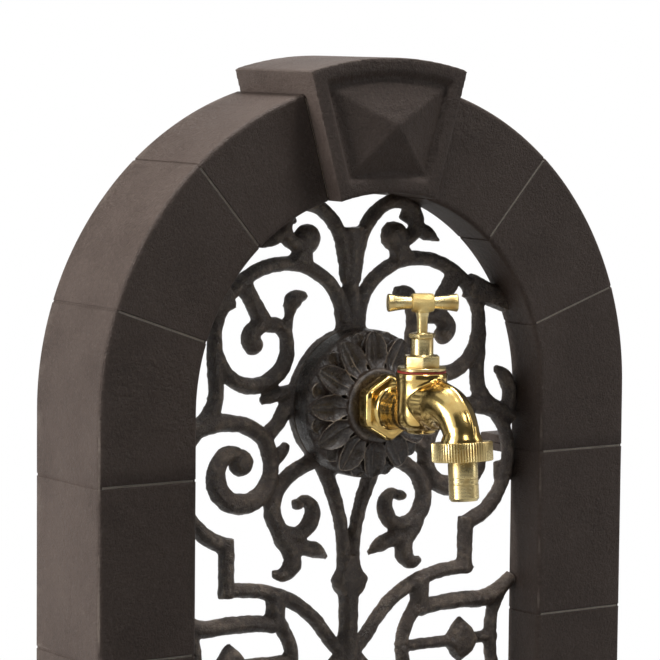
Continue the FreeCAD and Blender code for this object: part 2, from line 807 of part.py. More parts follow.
def grille():
    """The pattern, cut to the opening, with the lugs that its screws go through."""
    plate = document.addObject("Part::Feature", "Pattern")
    plate.Shape = grille_pattern()
    put(plate, 0, s.grille_setback, 0)
    back = s.grille_setback + s.grille_thickness
    hubs = [lying(s.hub_radius, s.grille_setback, back, 0, z)
            for z in (-s.hub_drop, BASIN_TOP + s.rail_height / 2)]
    rail = block(-INNER, INNER, s.grille_setback, back, BASIN_TOP, BASIN_TOP + s.rail_height)
    reach = INNER - s.grille_gap
    opening = fuse(lying(reach, s.grille_setback - EASE, back + EASE),
                   block(-reach, reach, s.grille_setback - EASE, back + EASE, BASIN_TOP, 0))
    lugs = [put(fuse(lug()), z=z) for z in LUG_HEIGHTS] + [around_arch(lug(), s.lug_angle)]
    bore = lying(s.shank_radius + s.shank_clearance, s.grille_setback - EASE, back + EASE, 0, -s.tap_drop)
    return cut(fuse(common(fuse(plate, *hubs, rail), opening), both_sides(fuse(*lugs))), bore)


def lug():
    """An ear behind the reveal, drawn along +X, with its screw hole."""
    back = s.grille_setback + s.grille_thickness
    inside = INNER - s.grille_gap
    ear = block(inside - s.boss_radius * 2, BOSS_X + s.boss_radius, s.reveal_depth,
                back + s.lug_thickness, -s.lug_half_height, s.lug_half_height)
    root = block(inside - s.boss_radius * 2, inside - s.grille_gap, back - s.lug_thickness,
                 back + s.lug_thickness, -s.lug_half_height / 2, s.lug_half_height / 2)
    hole = lying(s.screw_radius + s.bolt_clearance, s.reveal_depth - EASE, back + s.lug_thickness + EASE,
                 BOSS_X)
    return cut(fuse(ear, root), hole)


def grille_screw():
    seat = s.grille_setback + s.grille_thickness + s.lug_thickness
    shank = lying(s.screw_radius, s.reveal_depth - s.screw_length + EASE, seat + s.screw_head_height / 2, BOSS_X)
    head = lying(s.screw_head, seat, seat + s.screw_head_height, BOSS_X)
    return fuse(shank, head)


def grille_screws():
    low = [put(fuse(grille_screw()), z=z) for z in LUG_HEIGHTS]
    return both_sides(fuse(*low, around_arch(grille_screw(), s.lug_angle)))


# Rosette, drawn from the front of the grille outward

# A petal's corners, as shares of its length and of half its width
PETAL_OUTLINE = ((0, -0.5), (0.35, -1), (0.75, -0.9), (1, 0), (0.75, 0.9), (0.35, 1), (0, 0.5))


def rosette():
    bore = s.shank_radius + s.shank_clearance
    seat = s.rosette_depth + s.seat_rise
    edge = s.rosette_depth / 4
    body = turned(
        (bore, 0), (s.hub_radius, 0), (s.hub_radius, s.rosette_depth - edge),
        (s.hub_radius - edge, s.rosette_depth), (s.seat_radius, s.rosette_depth),
        (s.seat_radius, seat - edge / 2), (s.seat_radius - edge / 2, seat), (bore, seat),
    )
    document.recompute()
    start = s.seat_radius - EASE
    half = s.petal_width / 2
    for rise, share in ((s.petal_rise, 0), (s.tip_rise, 1)):
        angle = Size(180) / s.petal_count * share
        corners = []
        for along, across in PETAL_OUTLINE:
            x = start + s.petal_length * along
            y = half * across
            corners.append((x * cosine(angle) - y * sine(angle), x * sine(angle) + y * cosine(angle)))
        petal = raised(body, corners, s.rosette_depth - EASE, rise + EASE)
        ring_of(body, petal, s.petal_count)
    return body


# Tap body, drawn from the arch's middle

TAP_Z = -s.tap_drop
BACKNUT_SEAT = s.grille_setback + s.grille_thickness + s.back_washer_thickness
BACKNUT_END = BACKNUT_SEAT + s.backnut_height
SEAT_Y = s.grille_setback - s.rosette_depth - s.seat_rise
OUTLET_Y = -s.spout_bend_forward - s.spout_bend_radius * sine(s.spout_bend_angle)
OUTLET_Z = s.spout_height - s.spout_bend_radius + s.spout_bend_radius * cosine(s.spout_bend_angle)
LEAN = 90 - s.spout_bend_angle


def bend(radius):
    """The spout's quarter bend, from level to the outlet."""
    ring = solid("Torus", Radius1=s.spout_bend_radius, Radius2=radius, Angle3=s.spout_bend_angle)
    return put(ring, 0, -s.spout_bend_forward, s.spout_height - s.spout_bend_radius, RING_UPRIGHT)


def at_outlet(item):
    """Moves a piece drawn on the Z axis to the outlet, leaning as the spout's end does."""
    return put(fuse(item), 0, OUTLET_Y, OUTLET_Z, ((-1, 0, 0), LEAN))


def cone(radius1, radius2, length):
    return solid("Cone", Radius1=radius1, Radius2=radius2, Height=length)


def tap_body():
    chamber_y = -s.chamber_forward
    hexagon_front = SEAT_Y - s.wall_hexagon_length
    nut = put(fuse(hexagon(s.wall_flats, 0, s.wall_hexagon_length)), 0, SEAT_Y, TAP_Z, POINT_UP_TO_FRONT)
    taper = put(cone(s.wall_flats / 2, s.neck_radius, s.neck_taper), 0, hexagon_front, TAP_Z, TO_FRONT)
    outside = fuse(
        lying(s.shank_radius, SEAT_Y - EASE, s.shank_end, 0, TAP_Z),
        nut,
        taper,
        lying(s.neck_radius, chamber_y, hexagon_front, 0, TAP_Z),
        upright(s.chamber_radius, -s.chamber_foot, s.chamber_top, 0, chamber_y),
        upright(s.chamber_boss, -s.chamber_foot - s.chamber_boss_height, 0, 0, chamber_y),
        lying(s.spout_radius, -s.spout_bend_forward, chamber_y, 0, s.spout_height),
        bend(s.spout_radius),
        at_outlet(cone(s.spout_collar, s.spout_radius - EASE, s.spout_collar_height)),
        at_outlet(upright(s.spout_collar, -s.outlet_thread_start, 0)),
        at_outlet(upright(s.outlet_thread, -s.outlet_thread_end, -s.outlet_thread_start)),
    )
    passage = fuse(
        lying(s.shank_bore, hexagon_front, s.shank_end + EASE, 0, TAP_Z),
        lying(s.inlet_bore, chamber_y, hexagon_front + EASE, 0, -s.inlet_drop),
        upright(s.under_seat_radius, -s.under_seat_depth, -s.seat_thickness, 0, chamber_y),
        upright(s.seat_bore, -s.under_seat_depth, EASE, 0, chamber_y),
        upright(s.chamber_bore, 0, s.chamber_top + EASE, 0, chamber_y),
        lying(s.spout_bore, -s.spout_bend_forward, chamber_y - s.chamber_bore / 2, 0, s.spout_height),
        bend(s.spout_bore),
        at_outlet(upright(s.spout_bore, -s.outlet_thread_end - EASE, 0)),
    )
    relief = ring(s.shank_radius - s.relief_depth, s.shank_radius + EASE, 0, s.relief_width)
    return cut(outside, passage, put(fuse(relief), 0, BACKNUT_END, TAP_Z, TO_BACK))


# Headwork, drawn on the chamber's axis from the seat up

SEAL_TOP = s.chamber_top + s.seal_thickness
FLANGE_TOP = SEAL_TOP + s.bonnet_flange_height
HEXAGON_TOP = FLANGE_TOP + s.bonnet_hexagon_height
BONNET_TOP = HEXAGON_TOP + s.bonnet_neck_height
DISC_TOP = s.seat_washer_height + s.jumper_disc_height
SPINDLE_FOOT = DISC_TOP + s.running_clearance
THREAD_TOP = SPINDLE_FOOT + s.spindle_thread_length
CAVITY_TOP = THREAD_TOP + s.valve_lift + EASE / 2
PACKING_FOOT = BONNET_TOP - s.packing_height - EASE
STEM_END = s.handle_height - s.bar_pin_radius - EASE / 2


def bonnet():
    stem = s.spindle_stem + s.running_clearance
    thread = s.spindle_thread + s.running_clearance
    sleeve = turned(
        (thread, SEAL_TOP - s.bonnet_skirt_depth), (s.bonnet_skirt, SEAL_TOP - s.bonnet_skirt_depth),
        (s.bonnet_skirt, SEAL_TOP), (s.bonnet_flange, SEAL_TOP), (s.bonnet_flange, FLANGE_TOP),
        (s.bonnet_neck, FLANGE_TOP), (s.bonnet_neck, BONNET_TOP), (s.spindle_thread, BONNET_TOP),
        (s.spindle_thread, PACKING_FOOT), (stem, PACKING_FOOT), (stem, CAVITY_TOP), (thread, CAVITY_TOP),
    )
    ring = cut(hexagon(s.bonnet_flats, FLANGE_TOP, HEXAGON_TOP),
               upright(s.bonnet_neck - EASE / 2, FLANGE_TOP - EASE, HEXAGON_TOP + EASE))
    return fuse(sleeve, ring)


def ring(inner, outer, z0, z1):
    return turned((inner, z0), (outer, z0), (outer, z1), (inner, z1))


def gland_nut():
    stem = s.spindle_stem + s.running_clearance
    skirt = ring(stem, s.spindle_thread - s.running_clearance, BONNET_TOP - EASE, BONNET_TOP)
    head = cut(hexagon(s.gland_flats, BONNET_TOP, BONNET_TOP + s.gland_nut_height),
               upright(stem, BONNET_TOP - EASE, BONNET_TOP + s.gland_nut_height + EASE))
    return fuse(skirt, head)


def spindle():
    socket = s.spindle_stem + s.running_clearance
    socket_top = DISC_TOP + s.jumper_stem_height + EASE
    return turned(
        (socket, SPINDLE_FOOT), (s.spindle_thread, SPINDLE_FOOT), (s.spindle_thread, THREAD_TOP),
        (s.spindle_stem, THREAD_TOP), (s.spindle_stem, STEM_END), (0, STEM_END), (0, socket_top),
        (socket, socket_top),
    )


def jumper_valve():
    stub_foot = -s.washer_nut_height - EASE / 2
    return turned(
        (0, stub_foot), (s.jumper_stub, stub_foot), (s.jumper_stub, s.seat_washer_height),
        (s.jumper_disc, s.seat_washer_height), (s.jumper_disc, DISC_TOP), (s.spindle_stem, DISC_TOP),
        (s.spindle_stem, DISC_TOP + s.jumper_stem_height), (0, DISC_TOP + s.jumper_stem_height),
    )


def washer_nut():
    return cut(hexagon(s.washer_nut_flats, -s.washer_nut_height, 0),
               upright(s.jumper_stub, -s.washer_nut_height - EASE, EASE))


# Handle, drawn along the Z axis with its middle at the origin

HANDLE_AXIS = (math.sin(math.radians(s.handle_azimuth.value)), math.cos(math.radians(s.handle_azimuth.value)), 0)
ALONG_HANDLE = (HANDLE_AXIS, 90)


def handle_hub():
    half = s.hub_barrel_length / 2
    barrel = put(upright(s.hub_barrel_radius, 0, s.hub_barrel_length), z=-half)
    barrel = cut(barrel, upright(s.bar_pin_radius, -half - EASE, half + EASE))
    # The socket for the stem comes in from the side that faces down once the hub lies level
    drop = s.handle_height - STEM_END
    socket = upright(s.spindle_stem, -s.handle_height, -drop)
    level = put(fuse(barrel), turn=ALONG_HANDLE)
    return cut(level, socket)


def handle_bar():
    half = s.bar_length / 2
    hub = s.hub_barrel_length / 2
    return turned(
        (0, -half), (s.bar_end_radius, -half), (s.bar_waist_radius, -hub), (s.bar_pin_radius, -hub),
        (s.bar_pin_radius, hub), (s.bar_waist_radius, hub), (s.bar_end_radius, half), (0, half),
    )


# Hose union, drawn on the outlet's axis from the spout's end down

UNION_TOP = -s.union_drop
UNION_FOOT = UNION_TOP - s.union_height
LIP_TOP = UNION_FOOT + s.union_lip
TAIL_FLANGE_TOP = LIP_TOP + s.tail_flange_height
TAIL_FOOT = UNION_FOOT - s.tail_length


def union_nut():
    thread = s.outlet_thread + s.running_clearance
    lip = s.tail_radius + s.running_clearance
    edge = s.union_chamfer
    return turned(
        (thread, UNION_TOP), (s.union_radius - edge, UNION_TOP), (s.union_radius, UNION_TOP - edge),
        (s.union_radius, UNION_FOOT + edge), (s.union_radius - edge, UNION_FOOT), (lip, UNION_FOOT),
        (lip, LIP_TOP), (thread, LIP_TOP),
    )


def hose_tail():
    return turned(
        (s.tail_bore, TAIL_FOOT), (s.tail_radius - s.tail_chamfer / 2, TAIL_FOOT),
        (s.tail_radius, TAIL_FOOT + s.tail_chamfer), (s.tail_radius, UNION_FOOT - s.tail_shoulder),
        (s.tail_neck, UNION_FOOT - s.tail_shoulder), (s.tail_neck, LIP_TOP), (s.tail_flange, LIP_TOP), (s.tail_flange, TAIL_FLANGE_TOP), (s.tail_bore, TAIL_FLANGE_TOP),
    )


# The assembly

right = node("right_jamb", right_jamb())
mirrored_node("left_jamb", right)
right = node("right_arch", right_arch())
mirrored_node("left_arch", right)
node("keystone", keystone())
node("surround_bolts", surround_fixings(lambda x: bolt(x, s.wall, s.wall)))
node("surround_nuts", surround_fixings(lambda x: bolt_nut(x, s.wall)))

node("plinth", plinth())
node("plinth_bolts", both_sides(fuse(*[bolt(x, s.plinth_wall, s.wall) for x in BOLT_PLACES])), z=BASIN_FOOT)
node("plinth_nuts", both_sides(fuse(*[bolt_nut(x, s.wall) for x in BOLT_PLACES])), z=BASIN_FOOT)
node("basin", basin())
node("basin_bolts", basin_fixings(basin_bolt))
node("basin_nuts", basin_fixings(basin_nut))
drain_seat = BASIN_FLOOR + s.drain_seal_thickness
node("drain_strainer", drain_strainer(), y=-s.outlet_forward, z=drain_seat)
node("drain_seal", ring(DRAIN_TAIL_RADIUS + s.running_clearance, s.drain_flange - s.drain_thickness,
                        0, s.drain_seal_thickness), y=-s.outlet_forward, z=BASIN_FLOOR)
node("drain_backnut", cut(hexagon(s.drain_nut_flats, -s.drain_nut_height, 0),
                          upright(DRAIN_TAIL_RADIUS + s.running_clearance, -s.drain_nut_height - EASE, EASE)),
     y=-s.outlet_forward, z=BASIN_FOOT)

node("grille", grille())
node("grille_screws", grille_screws())
node("rosette", rosette(), y=s.grille_setback, z=TAP_Z, turn=TO_FRONT)

chamber = {"y": -s.chamber_forward}
node("tap_body", tap_body())
node("bonnet", bonnet(), **chamber)
node("bonnet_seal", ring(s.bonnet_skirt + s.running_clearance, s.bonnet_flange, s.chamber_top, SEAL_TOP),
     **chamber)
node("gland_packing", ring(s.spindle_stem + s.running_clearance, s.spindle_thread - s.running_clearance,
                           PACKING_FOOT, PACKING_FOOT + s.packing_height), **chamber)
node("gland_nut", gland_nut(), **chamber)
node("spindle", spindle(), **chamber)
node("handle_hub", handle_hub(), y=-s.chamber_forward, z=s.handle_height)
node("handle_bar", handle_bar(), y=-s.chamber_forward, z=s.handle_height, turn=ALONG_HANDLE)
node("jumper_valve", jumper_valve(), **chamber)
node("seat_washer", ring(s.jumper_stub, s.jumper_disc, 0, s.seat_washer_height), **chamber)
node("washer_nut", washer_nut(), **chamber)

outlet = {"y": OUTLET_Y, "z": OUTLET_Z, "turn": ((-1, 0, 0), LEAN)}
node("union_nut", union_nut(), **outlet)
node("hose_tail", hose_tail(), **outlet)
node("tail_washer", ring(s.tail_bore, s.tail_flange, TAIL_FLANGE_TOP, -s.outlet_thread_end), **outlet)

node("back_washer", ring(s.shank_radius + s.shank_clearance, s.back_washer_radius, 0, s.back_washer_thickness),
     y=s.grille_setback + s.grille_thickness, z=TAP_Z, turn=TO_BACK)
node("backnut", cut(hexagon(s.backnut_flats, 0, s.backnut_height),
                    upright(s.shank_radius + s.running_clearance, -EASE, s.backnut_height + EASE)),
     y=BACKNUT_SEAT, z=TAP_Z, turn=TO_BACK)

document.recompute()

# Everything is checked before anything is written
for item in document.Objects:
    if any(state in ("Invalid", "Error") for state in item.State):
        raise RuntimeError(f"{item.Label}: {item.State}")
for item in nodes:
    if item.Shape.isNull() or not item.Shape.isValid() or not item.Shape.Solids:
        raise RuntimeError(f"{item.Label} has no valid solid")
for item in nodes:
    item.Shape.exportStep(f"parts/{item.Label}.step")
print(len(nodes), "pieces written")
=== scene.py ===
# %% [markdown]
# # A garden fountain, dressed over its CAD frame
# The real object is a cast arch of scored blocks with a keystone, a scrolled grille in its opening,
# a brass bib tap on a rosette, and a half-round basin below. The CAD model gives every place and size.
# Here each piece that shows gets the softness of a casting, its ridges and petals, and its finish.

# %% Setup
import json
import math

import bmesh
import bpy
from mathutils import Matrix, Vector

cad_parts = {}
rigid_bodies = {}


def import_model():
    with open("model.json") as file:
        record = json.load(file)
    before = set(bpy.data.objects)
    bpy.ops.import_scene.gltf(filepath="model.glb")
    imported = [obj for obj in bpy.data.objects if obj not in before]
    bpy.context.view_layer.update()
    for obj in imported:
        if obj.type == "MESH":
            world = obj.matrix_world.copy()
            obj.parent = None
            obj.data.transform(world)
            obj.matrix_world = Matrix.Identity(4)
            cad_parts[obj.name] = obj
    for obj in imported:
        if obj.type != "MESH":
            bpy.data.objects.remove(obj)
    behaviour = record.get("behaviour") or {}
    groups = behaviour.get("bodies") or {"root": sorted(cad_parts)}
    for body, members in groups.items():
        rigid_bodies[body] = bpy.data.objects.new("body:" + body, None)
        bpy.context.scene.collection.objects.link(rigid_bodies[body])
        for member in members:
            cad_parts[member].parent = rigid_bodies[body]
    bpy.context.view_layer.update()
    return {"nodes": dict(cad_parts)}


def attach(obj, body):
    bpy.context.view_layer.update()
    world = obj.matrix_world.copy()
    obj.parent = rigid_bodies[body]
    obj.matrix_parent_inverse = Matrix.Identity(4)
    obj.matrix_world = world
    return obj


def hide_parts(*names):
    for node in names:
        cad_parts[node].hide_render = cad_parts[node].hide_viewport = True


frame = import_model()
print("CAD nodes:", len(frame["nodes"]))

# %% [markdown]
# ## Millimetres from the middle of the arch
# A fountain like this is drawn from the middle of its arch: on the spring line, on the front face.
# Every piece is modelled there in millimetres, so that its numbers are those of a drawing. At the
# end one matrix moves its mesh to the part's own frame, which is in metres.

# %% Drawing frame
ARCH_MIDDLE = Vector((0, 0.0595, 0.465))
TO_PART = Matrix.Translation(ARCH_MIDDLE) @ Matrix.Scale(0.001, 4)
OUTER = 180
INNER = 118
BAND_MIDDLE = (OUTER + INNER) / 2
DEPTH = 67
REVEAL = 28
WALL = 5
FIRST_COURSE = 36
COURSE = 96
BASIN_FOOT = -420
GROUND = -465
BASIN_TOP = -300
FACING_FRONT = (math.pi / 2, 0, 0)
TO_FRONT = Matrix.Rotation(math.pi / 2, 4, "X")
ARCH_AXIS = (0, -1, 0)
LEFT_FOR_RIGHT = Matrix.Scale(-1, 4, (1, 0, 0))
print("surround", 2 * OUTER, "mm wide, its opening", 2 * INNER)

# %% [markdown]
# ## Picking faces by their place
# An operator acts on all that is selected, and a new primitive comes selected all over. So each step
# first clears the selection and then picks faces, edges or vertices with a test of their middle and
# of their normal, or, for an edge, of its direction.

# %% Selecting
def clear():
    if bpy.context.mode != "OBJECT":
        bpy.ops.object.mode_set(mode="OBJECT")
    bpy.ops.object.select_all(action="DESELECT")


def activate(*pieces):
    clear()
    for piece in pieces:
        piece.select_set(True)
    bpy.context.view_layer.objects.active = pieces[0]


def edit(piece):
    activate(piece)
    bpy.ops.object.mode_set(mode="EDIT")
    return piece


def pick(kind, test=lambda middle, direction: True):
    """Selects what passes the test in the mesh that is being edited, and says how much that is."""
    mesh = bpy.context.edit_object.data
    shape = bmesh.from_edit_mesh(mesh)
    shape.normal_update()
    modes = {"verts": "VERT", "edges": "EDGE", "faces": "FACE"}
    bpy.ops.mesh.select_mode(type=modes[kind])
    bpy.ops.mesh.select_all(action="DESELECT")
    picked = []
    for item in getattr(shape, kind):
        if kind == "verts":
            middle, direction = item.co, item.normal
        elif kind == "edges":
            first, second = (vertex.co for vertex in item.verts)
            middle, direction = (first + second) / 2, (second - first).normalized()
        else:
            middle, direction = item.calc_center_median(), item.normal
        if test(middle, direction):
            picked.append(item)
    for item in picked:
        item.select = True
    shape.select_flush_mode()
    bmesh.update_edit_mesh(mesh)
    return len(picked)


def near(a, b, slack=0.02):
    return abs(a - b) < slack

# %% Moving and pulling what is selected
def shift(x, y, z):
    bpy.ops.transform.translate(value=(x, y, z))


def pull(x, y, z):
    """Extrudes what is selected and moves the new part."""
    bpy.ops.mesh.extrude_region_move(TRANSFORM_OT_translate={"value": (x, y, z)})


def merge(distance):
    pick("verts")
    bpy.ops.mesh.remove_doubles(threshold=distance)


def face_out():
    pick("faces")
    bpy.ops.mesh.normals_make_consistent(inside=False)

# %% [markdown]
# ## Blocks, drums and turned shapes
# Most of the tap is turned on a lathe: a half outline is drawn point by point from one vertex and
# spun round an axis. Blocks, drums and hexagons start as primitives of their real size and get their
# edges rounded, because no casting or polished fitting has a knife edge.

# %% Blocks and drums
def settle(piece):
    activate(piece)
    bpy.ops.object.transform_apply(location=True, rotation=True, scale=True)
    return piece


def block(x0, x1, y0, y1, z0, z1, ease=0.8):
    clear()
    bpy.ops.mesh.primitive_cube_add(size=1, location=((x0 + x1) / 2, (y0 + y1) / 2, (z0 + z1) / 2))
    piece = bpy.context.object
    piece.scale = (x1 - x0, y1 - y0, z1 - z0)
    edit(settle(piece))
    pick("edges")
    bpy.ops.mesh.bevel(offset=ease, segments=2, affect="EDGES")
    clear()
    return piece


def drum(radius, low, high, y=0, ease=0.6, sides=64):
    """An upright cylinder with its two rims rounded."""
    clear()
    bpy.ops.mesh.primitive_cylinder_add(
        vertices=sides, radius=radius, depth=high - low, location=(0, y, (low + high) / 2))
    piece = edit(settle(bpy.context.object))
    pick("edges", lambda middle, along: near(middle.z, low) or near(middle.z, high))
    bpy.ops.mesh.bevel(offset=ease, segments=2, affect="EDGES")
    clear()
    return piece

# %% Rows of edges and turned shapes
PLANE_CORNER = (0.5, 0.5, 0)


def edge_row(points):
    """A row of edges through points, drawn from one corner of a plane and left in edit mode."""
    clear()
    bpy.ops.mesh.primitive_plane_add(size=1)
    piece = edit(bpy.context.object)
    pick("verts", lambda middle, normal: middle.x + middle.y < 0.9)
    bpy.ops.mesh.delete(type="VERT")
    pick("verts")
    shift(*[there - here for here, there in zip(PLANE_CORNER, points[0])])
    for start, end in zip(points, points[1:]):
        move = [there - here for here, there in zip(start, end)]
        bpy.ops.mesh.extrude_vertices_move(TRANSFORM_OT_translate={"value": move})
    return piece


def turned(points, steps=64):
    """Draws (radius, height) points in the plane of X and Z and spins them about Z."""
    piece = edge_row([(radius, 0, height) for radius, height in points])
    pick("edges")
    bpy.ops.mesh.spin(steps=steps, angle=2 * math.pi, center=(0, 0, 0), axis=(0, 0, 1))
    merge(0.001)
    face_out()
    clear()
    return piece

# %% Joining, moving and copying
def joined(*pieces):
    activate(*pieces)
    bpy.ops.object.join()
    return bpy.context.object


def moved(piece, place=(0, 0, 0), turn=None):
    """Turns a mesh about the origin by a matrix and then moves it."""
    matrix = Matrix.Translation(place) @ (turn or Matrix.Identity(4))
    piece.data.transform(matrix)
    return piece


def copied(piece):
    double = piece.copy()
    double.data = piece.data.copy()
    bpy.context.scene.collection.objects.link(double)
    return double


def mirrored(piece, matrix=LEFT_FOR_RIGHT):
    """A mirrored copy. A mirror turns a mesh inside out, so its faces are flipped back."""
    double = copied(piece)
    double.data.transform(matrix)
    double.data.flip_normals()
    return double


def around_arch(angle):
    """The turn that swings +X up the arch by an angle in degrees."""
    return Matrix.Rotation(math.radians(angle), 4, ARCH_AXIS)

# %% [markdown]
# ## Modifiers, and the last step of every piece
# A modifier is applied as soon as it is added, so that the next step works on its result. Clouds move
# a surface as sand does. At the end each piece gets its name, its place, its finish and its CAD body.

# %% Modifiers
def modify(piece, kind, **settings):
    """Adds a modifier and applies it."""
    activate(piece)
    modifier = piece.modifiers.new(kind.title(), kind)
    for name, value in settings.items():
        setattr(modifier, name, value)
    bpy.ops.object.modifier_apply(modifier=modifier.name)


def roughen(piece, name, size, strength, level=1.0):
    """Moves a surface by clouds of a size in millimetres."""
    clouds = bpy.data.textures.new(name, "CLOUDS")
    clouds.noise_scale = size
    modify(piece, "DISPLACE", texture=clouds, strength=strength, mid_level=level, texture_coords="LOCAL")

# %% Last step
def finish_piece(piece, name, material, body, slot, *stood_for, smooth=32):
    """Names a piece, moves it to the part's frame, smooths it and ties it to the CAD frame."""
    activate(piece)
    bpy.ops.object.shade_smooth_by_angle(angle=math.radians(smooth))
    piece.data.transform(TO_PART)
    piece.name = name
    piece.data.name = name
    piece.data.materials.clear()
    piece.data.materials.append(material)
    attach(piece, body)
    if stood_for:
        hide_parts(*stood_for)
    print(f"{name}: {len(piece.data.polygons)} faces")

# %% [markdown]
# ## Shader maths as Python
# A finish is a small sum over patterns: so much grain, so much wear, so much of each. Written as nodes
# that is hard to read, so one class wraps a socket and lets + - * add the Math nodes. Any other node
# comes from one method that takes its type, its settings and what its sockets get.

# %% Sockets that can be added up
class Signal:
    """One output of a node, which Python's own operators work on."""

    def __init__(self, recipe, output):
        self.recipe = recipe
        self.output = output

    def maths(self, operation, first, second=0.0):
        return self.recipe.node("Math", {"operation": operation}, {0: first, 1: second})

    def __add__(self, other):
        return self.maths("ADD", self, other)

    def __sub__(self, other):
        return self.maths("SUBTRACT", self, other)

    def __mul__(self, other):
        return self.maths("MULTIPLY", self, other)

    def __rsub__(self, other):
        return self.maths("SUBTRACT", other, self)

    __radd__ = __add__
    __rmul__ = __mul__


class Recipe:
    """A tree of nodes that is filled in from Python."""

    def __init__(self, tree):
        self.tree = tree

    def node(self, kind, settings=None, sockets=None, output=0):
        added = self.tree.nodes.new("ShaderNode" + kind)
        for name, value in (settings or {}).items():
            setattr(added, name, value)
        for name, value in (sockets or {}).items():
            self.feed(added.inputs[name], value)
        return Signal(self, added.outputs[output])

    def feed(self, socket, value):
        if isinstance(value, Signal):
            self.tree.links.new(value.output, socket)
        else:
            socket.default_value = value

    def ramp(self, value, low, high):
        """0 below one value, 1 above the other, and straight between them."""
        return self.node("MapRange", {}, {0: value, 1: low, 2: high})

    def blend(self, share, first, second):
        """Colours go through Mix, because a Math node would turn them grey."""
        return self.node("Mix", {"data_type": "RGBA"}, {0: share, 6: first, 7: second}, output=2)

    def show(self, shader):
        """Makes a shader what the material looks like."""
        self.tree.links.new(shader.output, self.tree.nodes["Material Output"].inputs["Surface"])

    def glow(self, colour):
        return self.node("Emission", {}, {"Color": colour, "Strength": 1.0})

# %% [markdown]
# ## What a finish starts from
# Every pattern here is measured in metres on the piece itself, through Object coordinates, so it
# stays on the piece when a tap handle turns. A noise of scale 800 has grains of about a millimetre.

# %% Finishes
def tint(red, green, blue):
    """A colour as a picture shows it, from 0 to 255, made linear for a shader."""
    shares = [value / 255 for value in (red, green, blue)]
    return (*[share / 12.92 if share < 0.04 else ((share + 0.055) / 1.055) ** 2.4 for share in shares], 1)


class Finish(Recipe):
    """A material with one Principled shader."""

    def __init__(self, name):
        self.material = bpy.data.materials.new(name)
        self.material.use_nodes = True
        super().__init__(self.material.node_tree)
        self.surface = self.tree.nodes["Principled BSDF"]
        self.place = self.node("TexCoord", output="Object")

    def noise(self, scale, detail=4.0, roughness=0.55):
        sockets = {"Vector": self.place, "Scale": scale, "Detail": detail, "Roughness": roughness}
        return self.node("TexNoise", {}, sockets)

    def bump(self, height, distance):
        sockets = {"Height": height, "Distance": distance, "Strength": 1.0}
        self.set(Normal=self.node("Bump", {}, sockets))

    def set(self, **values):
        for name, value in values.items():
            self.feed(self.surface.inputs[name.replace("_", " ")], value)

# %% [markdown]
# ## Dark casting
# The blocks and the grille are sand castings with a dark brown, satin patina. Sand leaves a fine grain
# all over and the patina is cloudy. The sharp ridges are lighter and shinier: partly real wear from
# hands, partly painted highlight that stands in for light catching them. Sparse pale points on the
# grain are painted glints. The pale ridges are read from the shape itself: Pointiness is above a half
# where a mesh is sharp and outward. The scored joints hold a pale filler on the front, which lies a
# little behind the face and looks straight forward.

# %% Dark casting
FILLER = (236, 226, 212)
FILLER_STARTS, FILLER_FULL = 0.05978, 0.05986


def casting(name, dark, light, worn_and_highlight, grain, sheen, gloss, edge, filled=0.0):
    finish = Finish(name)
    clouds = finish.ramp(finish.noise(26.0), 0.36, 0.66)
    rough_patches = finish.ramp(finish.noise(14.0, 2.0), 0.48, 0.62)
    specks = finish.ramp(finish.noise(420.0, 5.0, 0.65), 0.38, 0.64)
    # Sparse pale points on the grain: painted glints of light.
    glint_dots = finish.ramp(finish.noise(560.0, 3.0, 0.6), 0.56, 0.7)
    # Patches where the sharp ridges turn pale: partly wear from hands, partly painted highlight.
    rubbing_and_highlight_patches = finish.ramp(finish.noise(75.0, 3.0), 0.42, 0.62)
    rubbed_and_highlit = finish.ramp(finish.node("NewGeometry", output="Pointiness"), *edge) * rubbing_and_highlight_patches
    patina = finish.blend(clouds * 0.5 + specks * 0.5, tint(*dark), tint(*light))
    # The ridges take a colour that is partly wear and partly painted highlight.
    shown = finish.blend(rubbed_and_highlit * 0.75 + glint_dots * 0.25, patina, tint(*worn_and_highlight))
    normal = finish.node("NewGeometry", output="True Normal")
    forward = finish.node("VectorMath", {"operation": "DOT_PRODUCT"}, {0: normal, 1: (0, -1, 0)},
                          output="Value")
    behind = finish.node("SeparateXYZ", {}, {0: finish.place}, output="Y")
    sunk = finish.ramp(behind, FILLER_STARTS, FILLER_FULL)
    filler = sunk * finish.ramp(forward, 0.975, 0.99) * filled
    finish.set(Base_Color=finish.blend(filler, shown, tint(*FILLER)))
    finish.set(Specular_IOR_Level=gloss, Roughness=sheen + specks * 0.12 - rubbed_and_highlit * 0.1)
    crust = finish.noise(330.0, 3.0, 0.6) * rough_patches * 1.5
    finish.bump(finish.noise(950.0, 3.0, 0.7) + finish.noise(210.0, 3.0) * 0.8 + crust, grain)
    return finish.material


# The third colour of each casting is partly wear and partly painted highlight on its ridges.
BLOCK_CASTING = casting(
    "dark_block_casting", dark=(76, 64, 58), light=(100, 87, 80), worn_and_highlight=(132, 119, 109), grain=0.0008,
    sheen=0.46, gloss=0.2, edge=(0.53, 0.6), filled=0.9)
GRILLE_CASTING = casting(
    "dark_grille_casting", dark=(56, 44, 36), light=(108, 90, 76), worn_and_highlight=(188, 168, 148), grain=0.0012,
    sheen=0.34, gloss=0.6, edge=(0.506, 0.535))
ROSETTE_CASTING = casting(
    "dark_rosette_casting", dark=(46, 36, 30), light=(68, 54, 44), worn_and_highlight=(200, 184, 166), grain=0.0004,
    sheen=0.24, gloss=0.55, edge=(0.508, 0.535))
print(BLOCK_CASTING.name, GRILLE_CASTING.name, ROSETTE_CASTING.name)

# %% [markdown]
# ## Brass
# The tap is yellow brass, polished by hand, so its reflections waver a little and its colour drifts
# from lemon to orange. The hub of the handle is left as it was cast. The parts off the lathe keep
# fine rings round their axis, which a wave along that axis gives.

